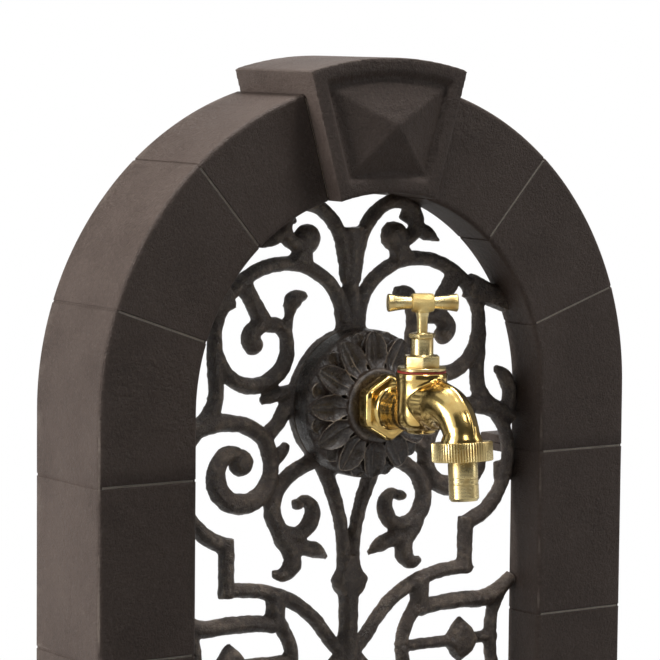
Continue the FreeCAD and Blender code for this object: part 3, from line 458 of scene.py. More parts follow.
# %% Brass
def brass(name, pale, deep, sheen, waver, grain=0.0):
    finish = Finish(name)
    drift = finish.ramp(finish.noise(55.0, 3.0), 0.35, 0.65)
    smears = finish.ramp(finish.noise(170.0, 5.0, 0.6), 0.42, 0.7)
    finish.set(Base_Color=finish.blend(drift * 0.7 + smears * 0.3, tint(*pale), tint(*deep)))
    finish.set(Metallic=1.0, Roughness=sheen + smears * 0.09)
    finish.bump(finish.noise(75.0, 2.0) * waver + finish.noise(1500.0, 2.0) * grain, 0.001)
    return finish.material


def turned_brass(name, pale, deep, sheen):
    finish = Finish(name)
    drift = finish.ramp(finish.noise(120.0, 4.0), 0.4, 0.7)
    finish.set(Base_Color=finish.blend(drift, tint(*pale), tint(*deep)))
    finish.set(Metallic=1.0, Roughness=sheen + drift * 0.1)
    rings = finish.node("TexWave", {"bands_direction": "Z"}, {
        "Vector": finish.place, "Scale": 420.0, "Distortion": 0.6, "Detail": 1.0})
    finish.bump(rings, 0.00003)
    return finish.material


POLISHED_BRASS = brass("polished_brass_finish", (208, 184, 120), (178, 138, 72), sheen=0.15, waver=0.12)
CAST_BRASS = brass("cast_brass_finish", (206, 186, 130), (172, 142, 82), sheen=0.38, waver=0.2, grain=0.5)
TURNED_BRASS = turned_brass("turned_brass_finish", (206, 188, 138), (172, 145, 92), sheen=0.25)
print(POLISHED_BRASS.name, CAST_BRASS.name, TURNED_BRASS.name)

# %% [markdown]
# ## Plated steel, rubber, fibre and bright metal
# These are the small parts: zinc on the nuts and bolts is dull and blotchy, rubber and fibre washers
# are matte, and the strainer in the basin is bright and lightly scratched.

# %% Small finishes
def simple(name, first, second, metal, sheen, scale, grain):
    finish = Finish(name)
    patches = finish.ramp(finish.noise(scale, 5.0, 0.6), 0.35, 0.68)
    finish.set(Base_Color=finish.blend(patches, tint(*first), tint(*second)))
    finish.set(Metallic=metal, Roughness=sheen + patches * 0.14)
    finish.bump(finish.noise(scale * 6, 3.0), grain)
    return finish.material


PLATED_STEEL = simple("plated_steel_finish", (176, 178, 178), (140, 142, 146),
                      metal=1.0, sheen=0.30, scale=130.0, grain=0.00005)
BRIGHT_METAL = simple("bright_metal_finish", (214, 215, 218), (190, 192, 196),
                      metal=1.0, sheen=0.12, scale=60.0, grain=0.00002)
RUBBER = simple("rubber_finish", (30, 30, 31), (44, 43, 43),
                metal=0.0, sheen=0.62, scale=240.0, grain=0.00006)
FIBRE = simple("red_fibre_finish", (164, 48, 30), (126, 34, 24),
               metal=0.0, sheen=0.58, scale=500.0, grain=0.00008)
print(PLATED_STEEL.name, BRIGHT_METAL.name, RUBBER.name, FIBRE.name)

# %% [markdown]
# ## Camera, light and floor
# The picture was taken with a long lens from the left, a little above the arch's middle. One soft
# source stands on the left, a bit behind, and one hangs above, so the left sides and the crown are pale
# and the front stays dark. Two weak ones, above and near on the right, lift it a little. One more in
# front shows only in shiny surfaces, and puts glints on the grille, the petals and the brass. The
# background is white only to the camera and to reflections. Grey cards, which only reflections show,
# give the brass its dark bands.

# %% Camera
YAW, PITCH, ROLL = (math.radians(angle) for angle in (34.523, 5.388, 0.545))
CAMERA_PLACE = (-1.0634, -1.4403, 0.6788)
bpy.ops.object.camera_add()
camera = bpy.context.object
camera.name = "camera"
camera.matrix_world = (Matrix.Translation(CAMERA_PLACE) @ Matrix.Rotation(-YAW, 4, "Z")
                       @ Matrix.Rotation(math.pi / 2 - PITCH, 4, "X") @ Matrix.Rotation(ROLL, 4, "Z"))
camera.data.sensor_width = 36
camera.data.lens = 179.79
bpy.context.scene.camera = camera
bpy.context.scene.view_settings.view_transform = "Standard"
print("camera at", tuple(round(value, 2) for value in camera.location))

# %% World
WHITE = (1, 1, 1, 1)
SOFT_FILL = 0.018
world = bpy.data.worlds.new("white_room")
bpy.context.scene.world = world
world.use_nodes = True
room = Recipe(world.node_tree)
sky = world.node_tree.nodes["Background"]
rays = [room.node("LightPath", output=f"Is {kind} Ray") for kind in ("Camera", "Glossy", "Transmission")]
shows_white = rays[0] + rays[1] + rays[2]
room.feed(sky.inputs["Color"], WHITE)
room.feed(sky.inputs["Strength"], shows_white * (1 - SOFT_FILL) + SOFT_FILL)
print("fill", SOFT_FILL)

# %% Lamps
def softbox(name, place, towards, width, height, watts):
    bpy.ops.object.light_add(type="AREA", location=place)
    lamp = bpy.context.object
    lamp.name = name
    lamp.data.shape = "RECTANGLE"
    lamp.data.size, lamp.data.size_y = width, height
    lamp.data.energy = watts
    lamp.rotation_euler = (Vector(towards) - Vector(place)).to_track_quat("-Z", "Y").to_euler()
    return lamp


softbox("top_softbox", (0.35, 0.38, 2.3), (0, 0.05, 0.45), width=0.8, height=0.4, watts=22)
softbox("front_softbox", (0.15, -0.3, 2.3), (0, 0, 0.45), width=0.4, height=0.3, watts=15)
softbox("left_softbox", (-2.3, 0.26, 0.95), (0, 0.05, 0.4), width=1.0, height=1.6, watts=54)
softbox("right_softbox", (1.0, -0.5, 0.9), (0, 0, 0.4), width=0.3, height=0.6, watts=2)
glint = softbox("glint_softbox", (-0.25, -1.35, 1.75), (0, 0, 0.5), width=0.5, height=0.4, watts=9)
glint.visible_diffuse = False
print("five softboxes")

# %% Cards
CARD_HEIGHT, CARD_AWAY, CARD_FOOT = 4.0, 2.6, 0.3


def card(name, first, last, grey):
    """An upright grey card that only reflections show, from one bearing to another, left of the front."""
    middle, half = math.radians((first + last) / 2), math.radians(abs(last - first) / 2)
    place = (-CARD_AWAY * math.sin(middle), -CARD_AWAY * math.cos(middle), CARD_FOOT + CARD_HEIGHT / 2)
    bpy.ops.mesh.primitive_plane_add(size=1, location=place, rotation=(math.pi / 2, 0, -middle))
    piece = bpy.context.object
    piece.scale = (2 * CARD_AWAY * math.tan(half), CARD_HEIGHT, 1)
    settle(piece)
    piece.name = name
    look = bpy.data.materials.new(name + "_grey")
    look.use_nodes = True
    paint = Recipe(look.node_tree)
    paint.show(paint.glow((grey, grey, grey * 0.94, 1)))
    piece.data.materials.append(look)
    for kind in ("camera", "diffuse", "transmission", "volume_scatter", "shadow"):
        setattr(piece, "visible_" + kind, False)


card("front_card", first=64, last=-50, grey=0.07)
card("left_card", first=94, last=132, grey=0.25)
card("back_card", first=158, last=205, grey=0.2)
card("right_card", first=-72, last=-140, grey=0.16)
print("four cards")

# %% Floor
bpy.ops.mesh.primitive_circle_add(vertices=96, radius=1.5, fill_type="NGON", location=(0, 0, -0.0005))
floor = settle(bpy.context.object)
floor.name = "floor"
pale = Finish("pale_floor")
pale.set(Roughness=0.85)
away = pale.node("VectorMath", {"operation": "LENGTH"}, {0: pale.place}, output="Value")
edge = pale.ramp(away, 0.55, 1.35) * pale.node("LightPath", output="Is Camera Ray")
bounce = pale.node("LightPath", output="Is Diffuse Ray")
pale.set(Base_Color=pale.blend(bounce, (0.86, 0.86, 0.85, 1), (0.12, 0.12, 0.12, 1)))
mixed = pale.node("MixShader", {}, {0: edge, 2: pale.glow(WHITE)})
pale.tree.links.new(pale.surface.outputs[0], mixed.output.node.inputs[1])
pale.show(mixed)
floor.data.materials.append(pale.material)
print("floor, 3 m across")

# %% [markdown]
# ## The surround's blocks
# The surround is cast in hollow pieces, open at the back, and scored to look like stone blocks. One
# cross-section makes all of it: an edge drawn from the reveal across the front and back along the
# outside. Its corners are rounded, and then it is pulled down for a jamb or spun about the arch. Each
# corner has a point close by on either side, so that its roundness stays near it, and so does its pale
# edge, which is partly wear and partly painted highlight.

# %% Band profile
SUPPORT = 5
BAND_BACK = DEPTH - 0.2


def band_profile():
    piece = edge_row([(x, y, 0) for x, y in (
        (INNER, REVEAL), (INNER, SUPPORT), (INNER, 0), (INNER + SUPPORT, 0),
        (BAND_MIDDLE - 10, 0), (BAND_MIDDLE + 10, 0),
        (OUTER - SUPPORT, 0), (OUTER, 0), (OUTER, SUPPORT), (OUTER, DEPTH / 2), (OUTER, BAND_BACK))])
    pick("verts", lambda place, normal: near(place.y, 0) and (near(place.x, INNER) or near(place.x, OUTER)))
    bpy.ops.mesh.bevel(offset=2.4, segments=3, affect="VERTICES")
    return piece


def face_front():
    """Merges doubles and turns the sheet's faces so that its front looks forward."""
    merge(0.01)
    face_out()
    if not pick("faces", lambda middle, normal: normal.y < -0.9):
        pick("faces")
        bpy.ops.mesh.flip_normals()

# %% [markdown]
# ## Scoring the joints
# A scored joint is a shallow groove a little over a millimetre wide, across the front and down both
# sides. Two cuts with bisect bound it, and the strip between them is pushed in along its own normals.
# Where one casting meets the next, each has half of such a groove, so its last strip is pushed in.

# %% Grooves
SCORE_HALF = 0.7
SCORE_DEPTH = 0.45


def slice_band(place, along):
    pick("faces")
    bpy.ops.mesh.bisect(plane_co=place, plane_no=along)


def score(piece, place, along):
    """Sinks a groove at a place, square to a direction along the band."""
    edit(piece)
    for side in (-SCORE_HALF, SCORE_HALF):
        slice_band(place + along * side, along)
    pick("faces", lambda middle, normal: abs((middle - place).dot(along)) < SCORE_HALF
         and middle.dot(place) > 0)
    bpy.ops.mesh.extrude_region_shrink_fatten(
        TRANSFORM_OT_shrink_fatten={"value": -SCORE_DEPTH, "use_even_offset": True})


def half_score(piece, place, along):
    """Sinks the last strip of a casting."""
    edit(piece)
    for back in (SCORE_HALF + 0.05, SCORE_HALF):
        slice_band(place - along * back, along)
    pick("verts", lambda point, normal: abs((point - place).dot(along)) < SCORE_HALF + 0.02
         and point.dot(place) > 0)
    bpy.ops.transform.shrink_fatten(value=-SCORE_DEPTH, use_even_offset=True)


def radial(angle):
    return Vector((math.cos(math.radians(angle)), 0, math.sin(math.radians(angle))))


def upward(angle):
    return Vector((-math.sin(math.radians(angle)), 0, math.cos(math.radians(angle))))

# %% [markdown]
# ## The casting's skin
# No two blocks lie quite level, so each one's front is set back by about a tenth of a millimetre. The
# sheet gets its wall from Solidify, and its long faces are divided and waver a little inward, as sand
# leaves them. The flanges inside are what the bolts hold, and they show from the back.

# %% Skin and wall
UP = Vector((0, 0, 1))


def set_back(piece, test, amount):
    edit(piece)
    pick("verts", lambda point, normal: point.y < REVEAL - 1 and test(point))
    shift(0, amount, 0)
    clear()


def cast_wall(piece):
    edit(piece)
    pick("faces", lambda middle, normal: abs(normal.y) > 0.9 and middle.y > REVEAL - 0.5)
    bpy.ops.mesh.delete(type="FACE")
    modify(piece, "BEVEL", width=0.15, segments=2, limit_method="ANGLE",
           angle_limit=math.radians(40), use_clamp_overlap=True)
    modify(piece, "SOLIDIFY", thickness=WALL, offset=-1)
    modify(piece, "SUBSURF", subdivision_type="SIMPLE", levels=2, render_levels=2)
    roughen(piece, "sand", size=26, strength=0.12)


def flange(z0, z1):
    return block(INNER + 2.5, OUTER - 2.5, 4, DEPTH - WALL, z0, z1, ease=1.0)


def finish_block(piece, node, ending="_skin", smooth=32):
    finish_piece(piece, node + ending, BLOCK_CASTING, "fountain", "dark_casting", node, smooth=smooth)


def finish_pair(piece, node):
    """Finishes the right one of two castings and its mirror on the left."""
    left = mirrored(piece)
    finish_block(piece, "right_" + node)
    finish_block(left, "left_" + node)

# %% [markdown]
# ## Jambs
# A jamb stands on the plinth and has four courses, each scored from the next. A few more cuts divide
# each course, so that it can be set back on its own. The jamb is made once and mirrored.

# %% Right and left jamb
COURSE_CUTS = (4, 24, 48, 72, COURSE - 4)
jamb = band_profile()
pick("verts")
pull(0, 0, BASIN_FOOT + FIRST_COURSE)
pick("verts")
shift(0, 0, -FIRST_COURSE)
face_front()
for course in (1, 2, 3):
    score(jamb, Vector((BAND_MIDDLE, 0, -FIRST_COURSE - COURSE * course)), UP)
edit(jamb)
for course in (0, 1, 2, 3):
    for part in COURSE_CUTS:
        slice_band(Vector((0, 0, -FIRST_COURSE - COURSE * course - part)), UP)
half_score(jamb, Vector((BAND_MIDDLE, 0, -FIRST_COURSE)), UP)
half_score(jamb, Vector((BAND_MIDDLE, 0, BASIN_FOOT)), -UP)
for course, amount in enumerate((0.05, 0.1, 0.02, 0.08)):
    top = -FIRST_COURSE - COURSE * course
    set_back(jamb, lambda point: top - COURSE + 1 < point.z < top - 1, amount)
cast_wall(jamb)
jamb = joined(jamb, flange(BASIN_FOOT, BASIN_FOOT + WALL), flange(-FIRST_COURSE - WALL, -FIRST_COURSE))
finish_pair(jamb, "jamb")

# %% [markdown]
# ## Arch
# Each side of the arch starts with a short straight course above the joint of the jamb. From the
# spring line the profile is spun about the arch's middle, up to the keystone's cheek.

# %% Right and left arch
TOP_ANGLE = 74
SCORE_ANGLES = (19.1, 48.8)
SET_BACKS = ((-90, 18, 0.1), (20, 47.5, 0.03), (50, 73, 0.08))
arch = band_profile()
pick("verts")
pull(0, 0, -FIRST_COURSE)
pick("edges", lambda middle, along: near(middle.z, 0))
bpy.ops.mesh.spin(steps=48, angle=math.radians(TOP_ANGLE), center=(0, 0, 0), axis=(0, 1, 0))
face_front()
for angle in SCORE_ANGLES:
    score(arch, radial(angle) * BAND_MIDDLE, upward(angle))
half_score(arch, Vector((BAND_MIDDLE, 0, -FIRST_COURSE)), -UP)
half_score(arch, radial(TOP_ANGLE) * BAND_MIDDLE, upward(TOP_ANGLE))
for low, high, amount in SET_BACKS:
    set_back(arch, lambda point: low < math.degrees(math.atan2(point.z, point.x)) < high
             and point.z > -FIRST_COURSE + 1, amount)
cast_wall(arch)
head_flange = flange(-WALL, 0)
head_flange.data.transform(around_arch(TOP_ANGLE))
arch = joined(arch, flange(-FIRST_COURSE, -FIRST_COURSE + WALL), head_flange)
finish_pair(arch, "arch")

# %% [markdown]
# ## Keystone
# The keystone stands proud of the arch and rises above it. Its front is a border round a sunk panel,
# and the panel rises to a low pyramid. The front is one edge spun about the arch's middle. Its faces
# are merged to one, which is inset for the border, sunk on a slope, and poked to the pyramid's point.

# %% Keystone front
KEY_HALF = 16
KEY_FRONT = -11.4
KEY_BACK = DEPTH - 0.3
CROWN = 193
BORDER = 7.5
PANEL_SINK = 3.2
APEX = Vector((0, -20.2, 155.5))


def ring_part(inner, outer, y, half, steps):
    """A flat part of a ring about the arch's middle, twice as wide as an angle, left in edit mode."""
    piece = edge_row([(inner, y, 0), (outer, y, 0)])
    pick("edges")
    bpy.ops.mesh.spin(steps=steps, angle=2 * math.radians(half), center=(0, 0, 0), axis=(0, 1, 0))
    face_front()
    return piece


keystone = ring_part(INNER, CROWN, KEY_FRONT, KEY_HALF, 16)
clear()
keystone.data.transform(around_arch(90 - KEY_HALF))
print("front of keystone:", len(keystone.data.polygons), "faces")

# %% Keystone panel
PANEL_MIDDLE = Vector((0, KEY_FRONT + PANEL_SINK, 153))


def on_panel(middle, normal):
    return near(middle.x, 0, 4) and near(middle.z, APEX.z, 14)


edit(keystone)
pick("faces")
bpy.ops.mesh.dissolve_limited(angle_limit=0.01)
pick("faces")
bpy.ops.mesh.inset(thickness=BORDER, use_even_offset=True)
pick("faces", on_panel)
pull(0, PANEL_SINK, 0)
bpy.ops.transform.resize(value=(0.925, 1, 0.885), center_override=APEX)
pick("faces", on_panel)
bpy.ops.mesh.poke()
clear()
peak = min(keystone.data.vertices, key=lambda vertex: (vertex.co - PANEL_MIDDLE).length)
peak.co = APEX
print("pyramid:", round(PANEL_MIDDLE.y - APEX.y, 1), "mm high")

# %% [markdown]
# ## Keystone sides
# The crown, both cheeks and the foot go back as far as the arch does, which makes a solid block. The
# real one is hollow, so a smaller sector is taken out of it from behind, and the wall below the grille
# goes too. A sand casting has no knife edge anywhere, and a bevel would trip over the fan of faces that
# poking left. So the whole shell is remeshed in small cubes and smoothed, which rounds every edge.

# %% Sector of a ring
def sector(inner, outer, y0, y1, half):
    """A solid part of a ring about the arch's middle, as wide each side of the top."""
    piece = ring_part(inner, outer, y0, half, 12)
    pick("faces")
    pull(0, y1 - y0, 0)
    face_out()
    clear()
    piece.data.transform(around_arch(90 - half))
    return piece


def take_out(piece, tool):
    modify(piece, "BOOLEAN", operation="DIFFERENCE", solver="EXACT", object=tool)
    bpy.data.objects.remove(tool)


def cast_round(piece, grain, passes):
    """Rounds every edge by about the size of the remesh's cubes."""
    modify(piece, "REMESH", mode="VOXEL", voxel_size=grain)
    modify(piece, "SMOOTH", factor=0.5, iterations=passes)
    return piece

# %% Keystone sides and hollow
edit(keystone)
pick("edges", lambda middle, along: near(middle.y, KEY_FRONT) and (
    middle.xz.length > CROWN - 1 or middle.xz.length < INNER + 1
    or abs(math.degrees(math.atan2(middle.x, middle.z))) > KEY_HALF - 0.2))
pull(0, KEY_BACK - KEY_FRONT, 0)
bpy.ops.mesh.edge_face_add()
face_out()
take_out(keystone, sector(INNER + WALL, CROWN - WALL, -1, DEPTH + 2, KEY_HALF - 2))
take_out(keystone, sector(INNER - 9, INNER + WALL + 1, REVEAL, DEPTH + 3, KEY_HALF - 2))
cast_round(keystone, grain=1.2, passes=3)
finish_block(keystone, "keystone")

# %% [markdown]
# ## The grille's strands
# The grille is one casting: scrolls and leaves that swell and thin along their length, with a ridge
# along the middle and a flat back. A curve draws that best. Each strand is a row of stations, across,
# up and width, its bevel shape is a rounded ridge, and the radius at each station sets the width.

# %% Stations of the pattern
UPPER_STRANDS = (
    ((0, 30, 12), (0, 56, 10), (0, 78, 8)),
    ((0, 74, 8), (0, 86, 10), (0, 97, 13)),
    ((32, 86, 10), (35, 78, 15)),
    ((3, 66, 7), (5, 82, 8), (9, 95, 8.5), (17, 105, 8.5), (28, 110.5, 8.5), (39, 109, 8.5), (45, 101, 9),
     (43, 92, 9), (34, 88, 9)),
    ((43, 97, 8), (53, 92, 9), (63, 87, 2)),
    ((5, 34, 9), (6, 50, 9), (13, 64, 8.5), (24, 72.5, 8.5), (36, 77, 8.5), (50, 77.5, 8.5),
     (64, 74, 8.5), (77, 66, 8.5), (87, 54, 8.5), (91, 40, 8.5), (88.5, 26, 8.5), (80, 15, 9),
     (68, 10.3, 9.5), (55, 12.5, 9.5), (46, 20, 9.5), (43, 31, 8.5), (46, 41, 8.5), (54, 44, 9),
     (63, 43, 10), (68.5, 37, 10), (66, 31, 9)),
    ((82, 61, 15), (98, 55, 13), (112, 50, 13)),
    ((72, 66, 10), (65, 55, 10), (60, 46, 11)),
    ((43, 38, 6), (41.5, 49, 6), (39, 57, 11), (30, 59.5, 5)),
    ((92, 36, 8), (91, 20, 8.5), (90, 8, 9), (93, -3, 10), (102, -12, 10)),
    ((104, 12, 4), (110, 7, 9), (114, -3, 9), (112, -16, 9)),
    ((30, 6, 8), (48, 4.5, 8.5), (56, 2.5, 7), (60, 0.5, 4)),
    ((40, 4, 8), (45, -5, 9), (48.5, -11, 9), (55, -17, 9)),
)
REPEATED_STRANDS = (
    ((117, -18, 9), (103, -12, 11), (92, -9.5, 11), (80, -9.8, 9.5), (68, -13, 9.5), (58, -21, 9.5),
     (53.8, -33, 9.5), (56, -46, 10), (63.5, -53.5, 11), (74, -55.5, 12), (84, -52, 12), (90, -42, 12),
     (88.5, -33, 10.5), (82, -27, 9.5), (75, -28, 9)),
    ((54, -34, 9), (46, -28, 8), (42, -24, 5)),
    ((103, -13, 9), (111, -25, 8.5), (113.5, -42, 8.5), (109, -57, 8.5), (98, -71, 9.5), (88, -76.5, 9.5),
     (81, -79, 9)),
    ((82.8, -74, 9.5), (82.8, -108, 9.5)),
    ((87, -104, 8.5), (72, -104.5, 8.5), (56, -107, 8.5), (42, -112, 8.5), (30, -119.5, 8.5),
     (21, -128, 8.5), (13, -138, 8.5), (4, -148, 8)),
    ((20, -33, 9), (34, -38, 9), (43, -43, 9), (49.5, -50, 9.5), (52.5, -60, 10), (49, -70, 10),
     (41, -75, 9), (32, -74.5, 9), (26, -68, 10), (25.5, -61, 9), (30, -57, 7), (36, -59, 5)),
    ((51, -63, 9), (46, -77, 10), (40, -85, 10), (39, -93, 11), (45, -98, 8.5), (51.5, -97, 4)),
    ((40, -83, 8), (30, -84, 9), (22, -86, 9.5), (14, -91, 3)),
    ((20, -34, 10), (12, -52, 9), (7.5, -64, 8.5), (4.5, -78, 8), (3, -98, 8)),
    ((0, -90, 11), (0, -97, 14), (0, -104, 23), (0, -109, 20), (0, -114, 12), (0, -120, 11.5),
     (0, -134, 11.5), (0, -148, 11.5)),
    ((118, -113, 8), (110, -119, 9.5), (100, -124, 10), (80, -124, 10), (60, -125, 9.5), (50, -127, 9)),
    ((50, -107, 12), (50, -128, 11)),
    ((50, -122, 10), (43, -132, 8.5), (39, -141, 8.5), (38, -148, 8.5)),
    ((80, -134, 2), (80, -141, 14), (80, -148, 22)),
    ((36, -148, 7), (106, -148, 7)),
    ((110, -119, 9), (104, -132, 8), (102, -148, 8)),
)
UPPER_ENDS = ((30, 91, 9), (65.5, 33, 6))
REPEATED_ENDS = ((73, -32.5, 8), (35.5, -58.5, 3.6))
WAIST = -100
DRAWN_MIDDLE = -148
GRILLE_MIDDLE = -147
GRILLE_FRONT = 20
GRILLE_BACK = 28
print("strands in one quarter:", len(UPPER_STRANDS) + len(REPEATED_STRANDS))

# %% [markdown]
# ## A strand as a beveled curve
# The curve runs along the grille's back. Its bevel shape is a half round that is higher than a circle,
# so every strand has a crown; where a strand is wide, as in a leaf, its ridge would rise too far, so
# the mesh is pressed back to the grille's depth afterwards. The curve then becomes a mesh.

# %% Drawing one strand
CREST = GRILLE_BACK - GRILLE_FRONT
RIDGE = ((-1, 0), (-1.02, 0.5), (-0.82, 1.1), (-0.42, 1.5), (0, 1.66), (0.42, 1.5), (0.82, 1.1),
         (1.02, 0.5), (1, 0))


def ridge_shape():
    """Half of a rounded ridge, for strands of radius 1: flat behind, crowned in front."""
    clear()
    data = bpy.data.curves.new("ridge_shape", "CURVE")
    spline = data.splines.new("POLY")
    spline.points.add(len(RIDGE) - 1)
    for point, (across, high) in zip(spline.points, RIDGE):
        point.co = (across, high, 0, 1)
    spline.use_cyclic_u = True
    shape = bpy.data.objects.new("ridge_shape", data)
    bpy.context.scene.collection.objects.link(shape)
    return shape


def fitted(z):
    """Stretches what is below the waist, so that the pattern meets its mirror in the middle."""
    share = (GRILLE_MIDDLE - WAIST) / (DRAWN_MIDDLE - WAIST)
    return z if z > WAIST else WAIST + (z - WAIST) * share


def strand(stations, shape):
    data = bpy.data.curves.new("strand", "CURVE")
    data.dimensions = "3D"
    data.twist_mode = "Z_UP"
    data.bevel_mode = "OBJECT"
    data.bevel_object = shape
    data.use_fill_caps = True
    spline = data.splines.new("BEZIER")
    spline.bezier_points.add(len(stations) - 1)
    spline.resolution_u = 6
    for point, (x, z, width) in zip(spline.bezier_points, stations):
        point.co = (x, fitted(z), 0)
        point.handle_left_type = point.handle_right_type = "AUTO"
        point.radius = width / 2
    piece = bpy.data.objects.new("strand", data)
    bpy.context.scene.collection.objects.link(piece)
    activate(piece)
    bpy.ops.object.convert(target="MESH")
    piece = bpy.context.object
    edit(piece)
    merge(0.001)
    clear()
    return piece


def dome(x, z, radius):
    """The round end of a scroll, flat behind."""
    clear()
    bpy.ops.mesh.primitive_uv_sphere_add(segments=24, ring_count=16, radius=1, location=(x, fitted(z), 0))
    piece = bpy.context.object
    piece.scale = (radius, radius, CREST + 0.6)
    edit(settle(piece))
    pick("faces")
    bpy.ops.mesh.bisect(plane_co=(0, 0, 0), plane_no=(0, 0, 1), clear_inner=True, use_fill=True)
    clear()
    return piece

# %% [markdown]
# ## One quarter, mirrored both ways
# The pattern below the tap is repeated upside down to the basin, and the whole is mirrored left to
# right. Hubs behind the rosette, the rail on the basin and the ears for the screws belong to the same
# casting. Sand leaves its bars lumpy, which clouds do after the remesh, and the mesh is then thinned.

# %% Pattern
def scrolls(strands, ends, shape):
    return joined(*[strand(stations, shape) for stations in strands], *[dome(*end) for end in ends])


UPSIDE_DOWN = Matrix.Translation((0, 2 * GRILLE_MIDDLE, 0)) @ Matrix.Scale(-1, 4, (0, 1, 0))
PRESSED = 0.15
ridge = ridge_shape()
upper = scrolls(UPPER_STRANDS, UPPER_ENDS, ridge)
repeated = scrolls(REPEATED_STRANDS, REPEATED_ENDS, ridge)
lower = mirrored(repeated, UPSIDE_DOWN)
pattern = joined(upper, repeated, lower)
bpy.data.objects.remove(ridge)
for vertex in pattern.data.vertices:
    vertex.co.z = min(vertex.co.z, CREST + (vertex.co.z - CREST) * PRESSED)
moved(pattern, (0, GRILLE_BACK, 0), TO_FRONT)
pattern = joined(pattern, mirrored(pattern))
print("pattern:", len(pattern.data.polygons), "faces")

# %% Hubs, rail and ears
HIGH_EAR_ANGLE = 67.5
LOW_EARS = (-50, -250)


def hub_disc(radius, front, z):
    """A disc in the grille, whose axis points to the front."""
    return moved(drum(radius, -GRILLE_BACK, -front), (0, 0, z), TO_FRONT)


def ear():
    return block(INNER - 12, INNER + 14, REVEAL - 1, GRILLE_BACK + 3, -6, 6, ease=1.2)


high_ear = ear()
high_ear.data.transform(around_arch(HIGH_EAR_ANGLE))
ears = joined(high_ear, *[moved(ear(), (0, 0, z)) for z in LOW_EARS])
ears = joined(ears, mirrored(ears))
rail = block(-INNER - 1, INNER + 1, GRILLE_FRONT, GRILLE_BACK, BASIN_TOP - 0.5, BASIN_TOP + 12, ease=2)
hubs = joined(hub_disc(42, GRILLE_FRONT + 0.5, -1.5), hub_disc(38, GRILLE_FRONT, -294))
edit(hubs)
pick("faces")
bpy.ops.mesh.bisect(plane_co=(0, 0, BASIN_TOP), plane_no=UP, clear_inner=True, use_fill=True)
clear()
print("rail, two hubs and six ears")

# %% Whole grille
grille = joined(pattern, hubs, rail, ears)
cast_round(grille, grain=1.0, passes=4)
roughen(grille, "lumps", size=5, strength=1.1, level=0.55)
modify(grille, "DECIMATE", ratio=0.55)
finish_piece(grille, "grille_casting", GRILLE_CASTING, "fountain", "dark_casting", "grille", smooth=60)

# %% [markdown]
# ## Rosette
# Between the grille and the tap sits a cast flower: a drum with a rounded front edge, twelve cupped
# petals with a raised rim and a rib, and twelve tips that look out between them. One petal is a grid
# whose points are moved by two sums, one for the outline and one for the height. Then it is copied.

# %% Petals
DRUM_FRONT = 16
PETALS = 12
PETAL_THICKNESS = 7


def petal(inner, outer, width, base, rise, cup, rib):
    """A petal along +X on the drum's front, high at the tap, cupped and then turned over at its tip."""
    clear()
    bpy.ops.mesh.primitive_grid_add(x_subdivisions=22, y_subdivisions=16, size=2)
    piece = bpy.context.object
    for vertex in piece.data.vertices:
        along, across = (vertex.co.x + 1) / 2, vertex.co.y
        narrow = min(1, 0.5 + 1.5 * along) * max(0.02, 1 - max(0, (along - 0.45) / 0.55) ** 2.4) ** 0.6
        bow = math.sin(math.pi * (0.1 + 0.8 * along))
        height = (DRUM_FRONT + base * max(0, 1 - along / 0.35) ** 2 + rise * bow
                  + cup * abs(across) ** 2.5 * bow
                  + rib * math.exp(-(across / 0.14) ** 2) * (1 - along * 0.6))
        vertex.co = (inner + (outer - inner) * along, across * width / 2 * narrow, height)
    edit(piece)
    pick("faces")
    pull(0, 0, -PETAL_THICKNESS)
    face_out()
    clear()
    return piece


def ring_of(piece, count, start):
    """Copies a piece round the Z axis, each copy with its own mesh."""
    copies = []
    for number in range(count):
        double = copied(piece)
        double.data.transform(Matrix.Rotation(math.radians(start + number * 360 / count), 4, "Z"))
        copies.append(double)
    bpy.data.objects.remove(piece)
    return joined(*copies)


one_petal = petal(inner=19.5, outer=41.6, width=15.0, base=5.5, rise=0.6, cup=4.2, rib=1.9)
petals = ring_of(one_petal, PETALS, 0)
one_tip = petal(inner=27, outer=41.9, width=12, base=0, rise=-0.6, cup=1.8, rib=0.7)
tips = ring_of(one_tip, PETALS, 180 / PETALS)
print("petals:", len(petals.data.polygons), "faces")

# %% Drum and seat
TAP_Z = -1.7
flower = turned(((0, 0), (42, 0), (42, 11.2), (41.5, 13.4), (40, 15.1), (37.8, 16), (30, 16), (25, 14.8),
                 (22.3, 13.6), (21, 14.4), (21, 23.6), (20.2, 24.7), (19, 25), (0, 25)))
rosette = joined(flower, petals, tips)
cast_round(rosette, grain=0.5, passes=2)
moved(rosette, (0, GRILLE_FRONT, TAP_Z), TO_FRONT)
finish_piece(rosette, "rosette_casting", ROSETTE_CASTING, "fountain", "dark_casting", "rosette", smooth=60)

# %% [markdown]
# ## Tap body
# The body is one brass casting: a hexagon against the rosette, a scooped neck, an upright chamber for
# the valve and a spout with a crease along its back. Polishing has rounded every edge and made the
# parts flow together. So they are made one by one, joined, remeshed finely and smoothed.

# %% Hexagon and neck
CHAMBER_Y = -43.3
HEXAGON_BACK = -5


def hexagon(flats, low, high, corner, rim, turn=0):
    """An upright hexagon across flats, its corners and rims rounded."""
    clear()
    bpy.ops.mesh.primitive_cylinder_add(
        vertices=6, radius=flats / math.sqrt(3), depth=high - low, location=(0, 0, (low + high) / 2),
        rotation=(0, 0, math.radians(turn)))
    piece = edit(settle(bpy.context.object))
    pick("edges", lambda middle, along: abs(along.z) > 0.9)
    bpy.ops.mesh.bevel(offset=corner, segments=4, affect="EDGES")
    pick("edges", lambda middle, along: near(middle.z, low) or near(middle.z, high))
    bpy.ops.mesh.bevel(offset=rim, segments=3, affect="EDGES")
    clear()
    return piece


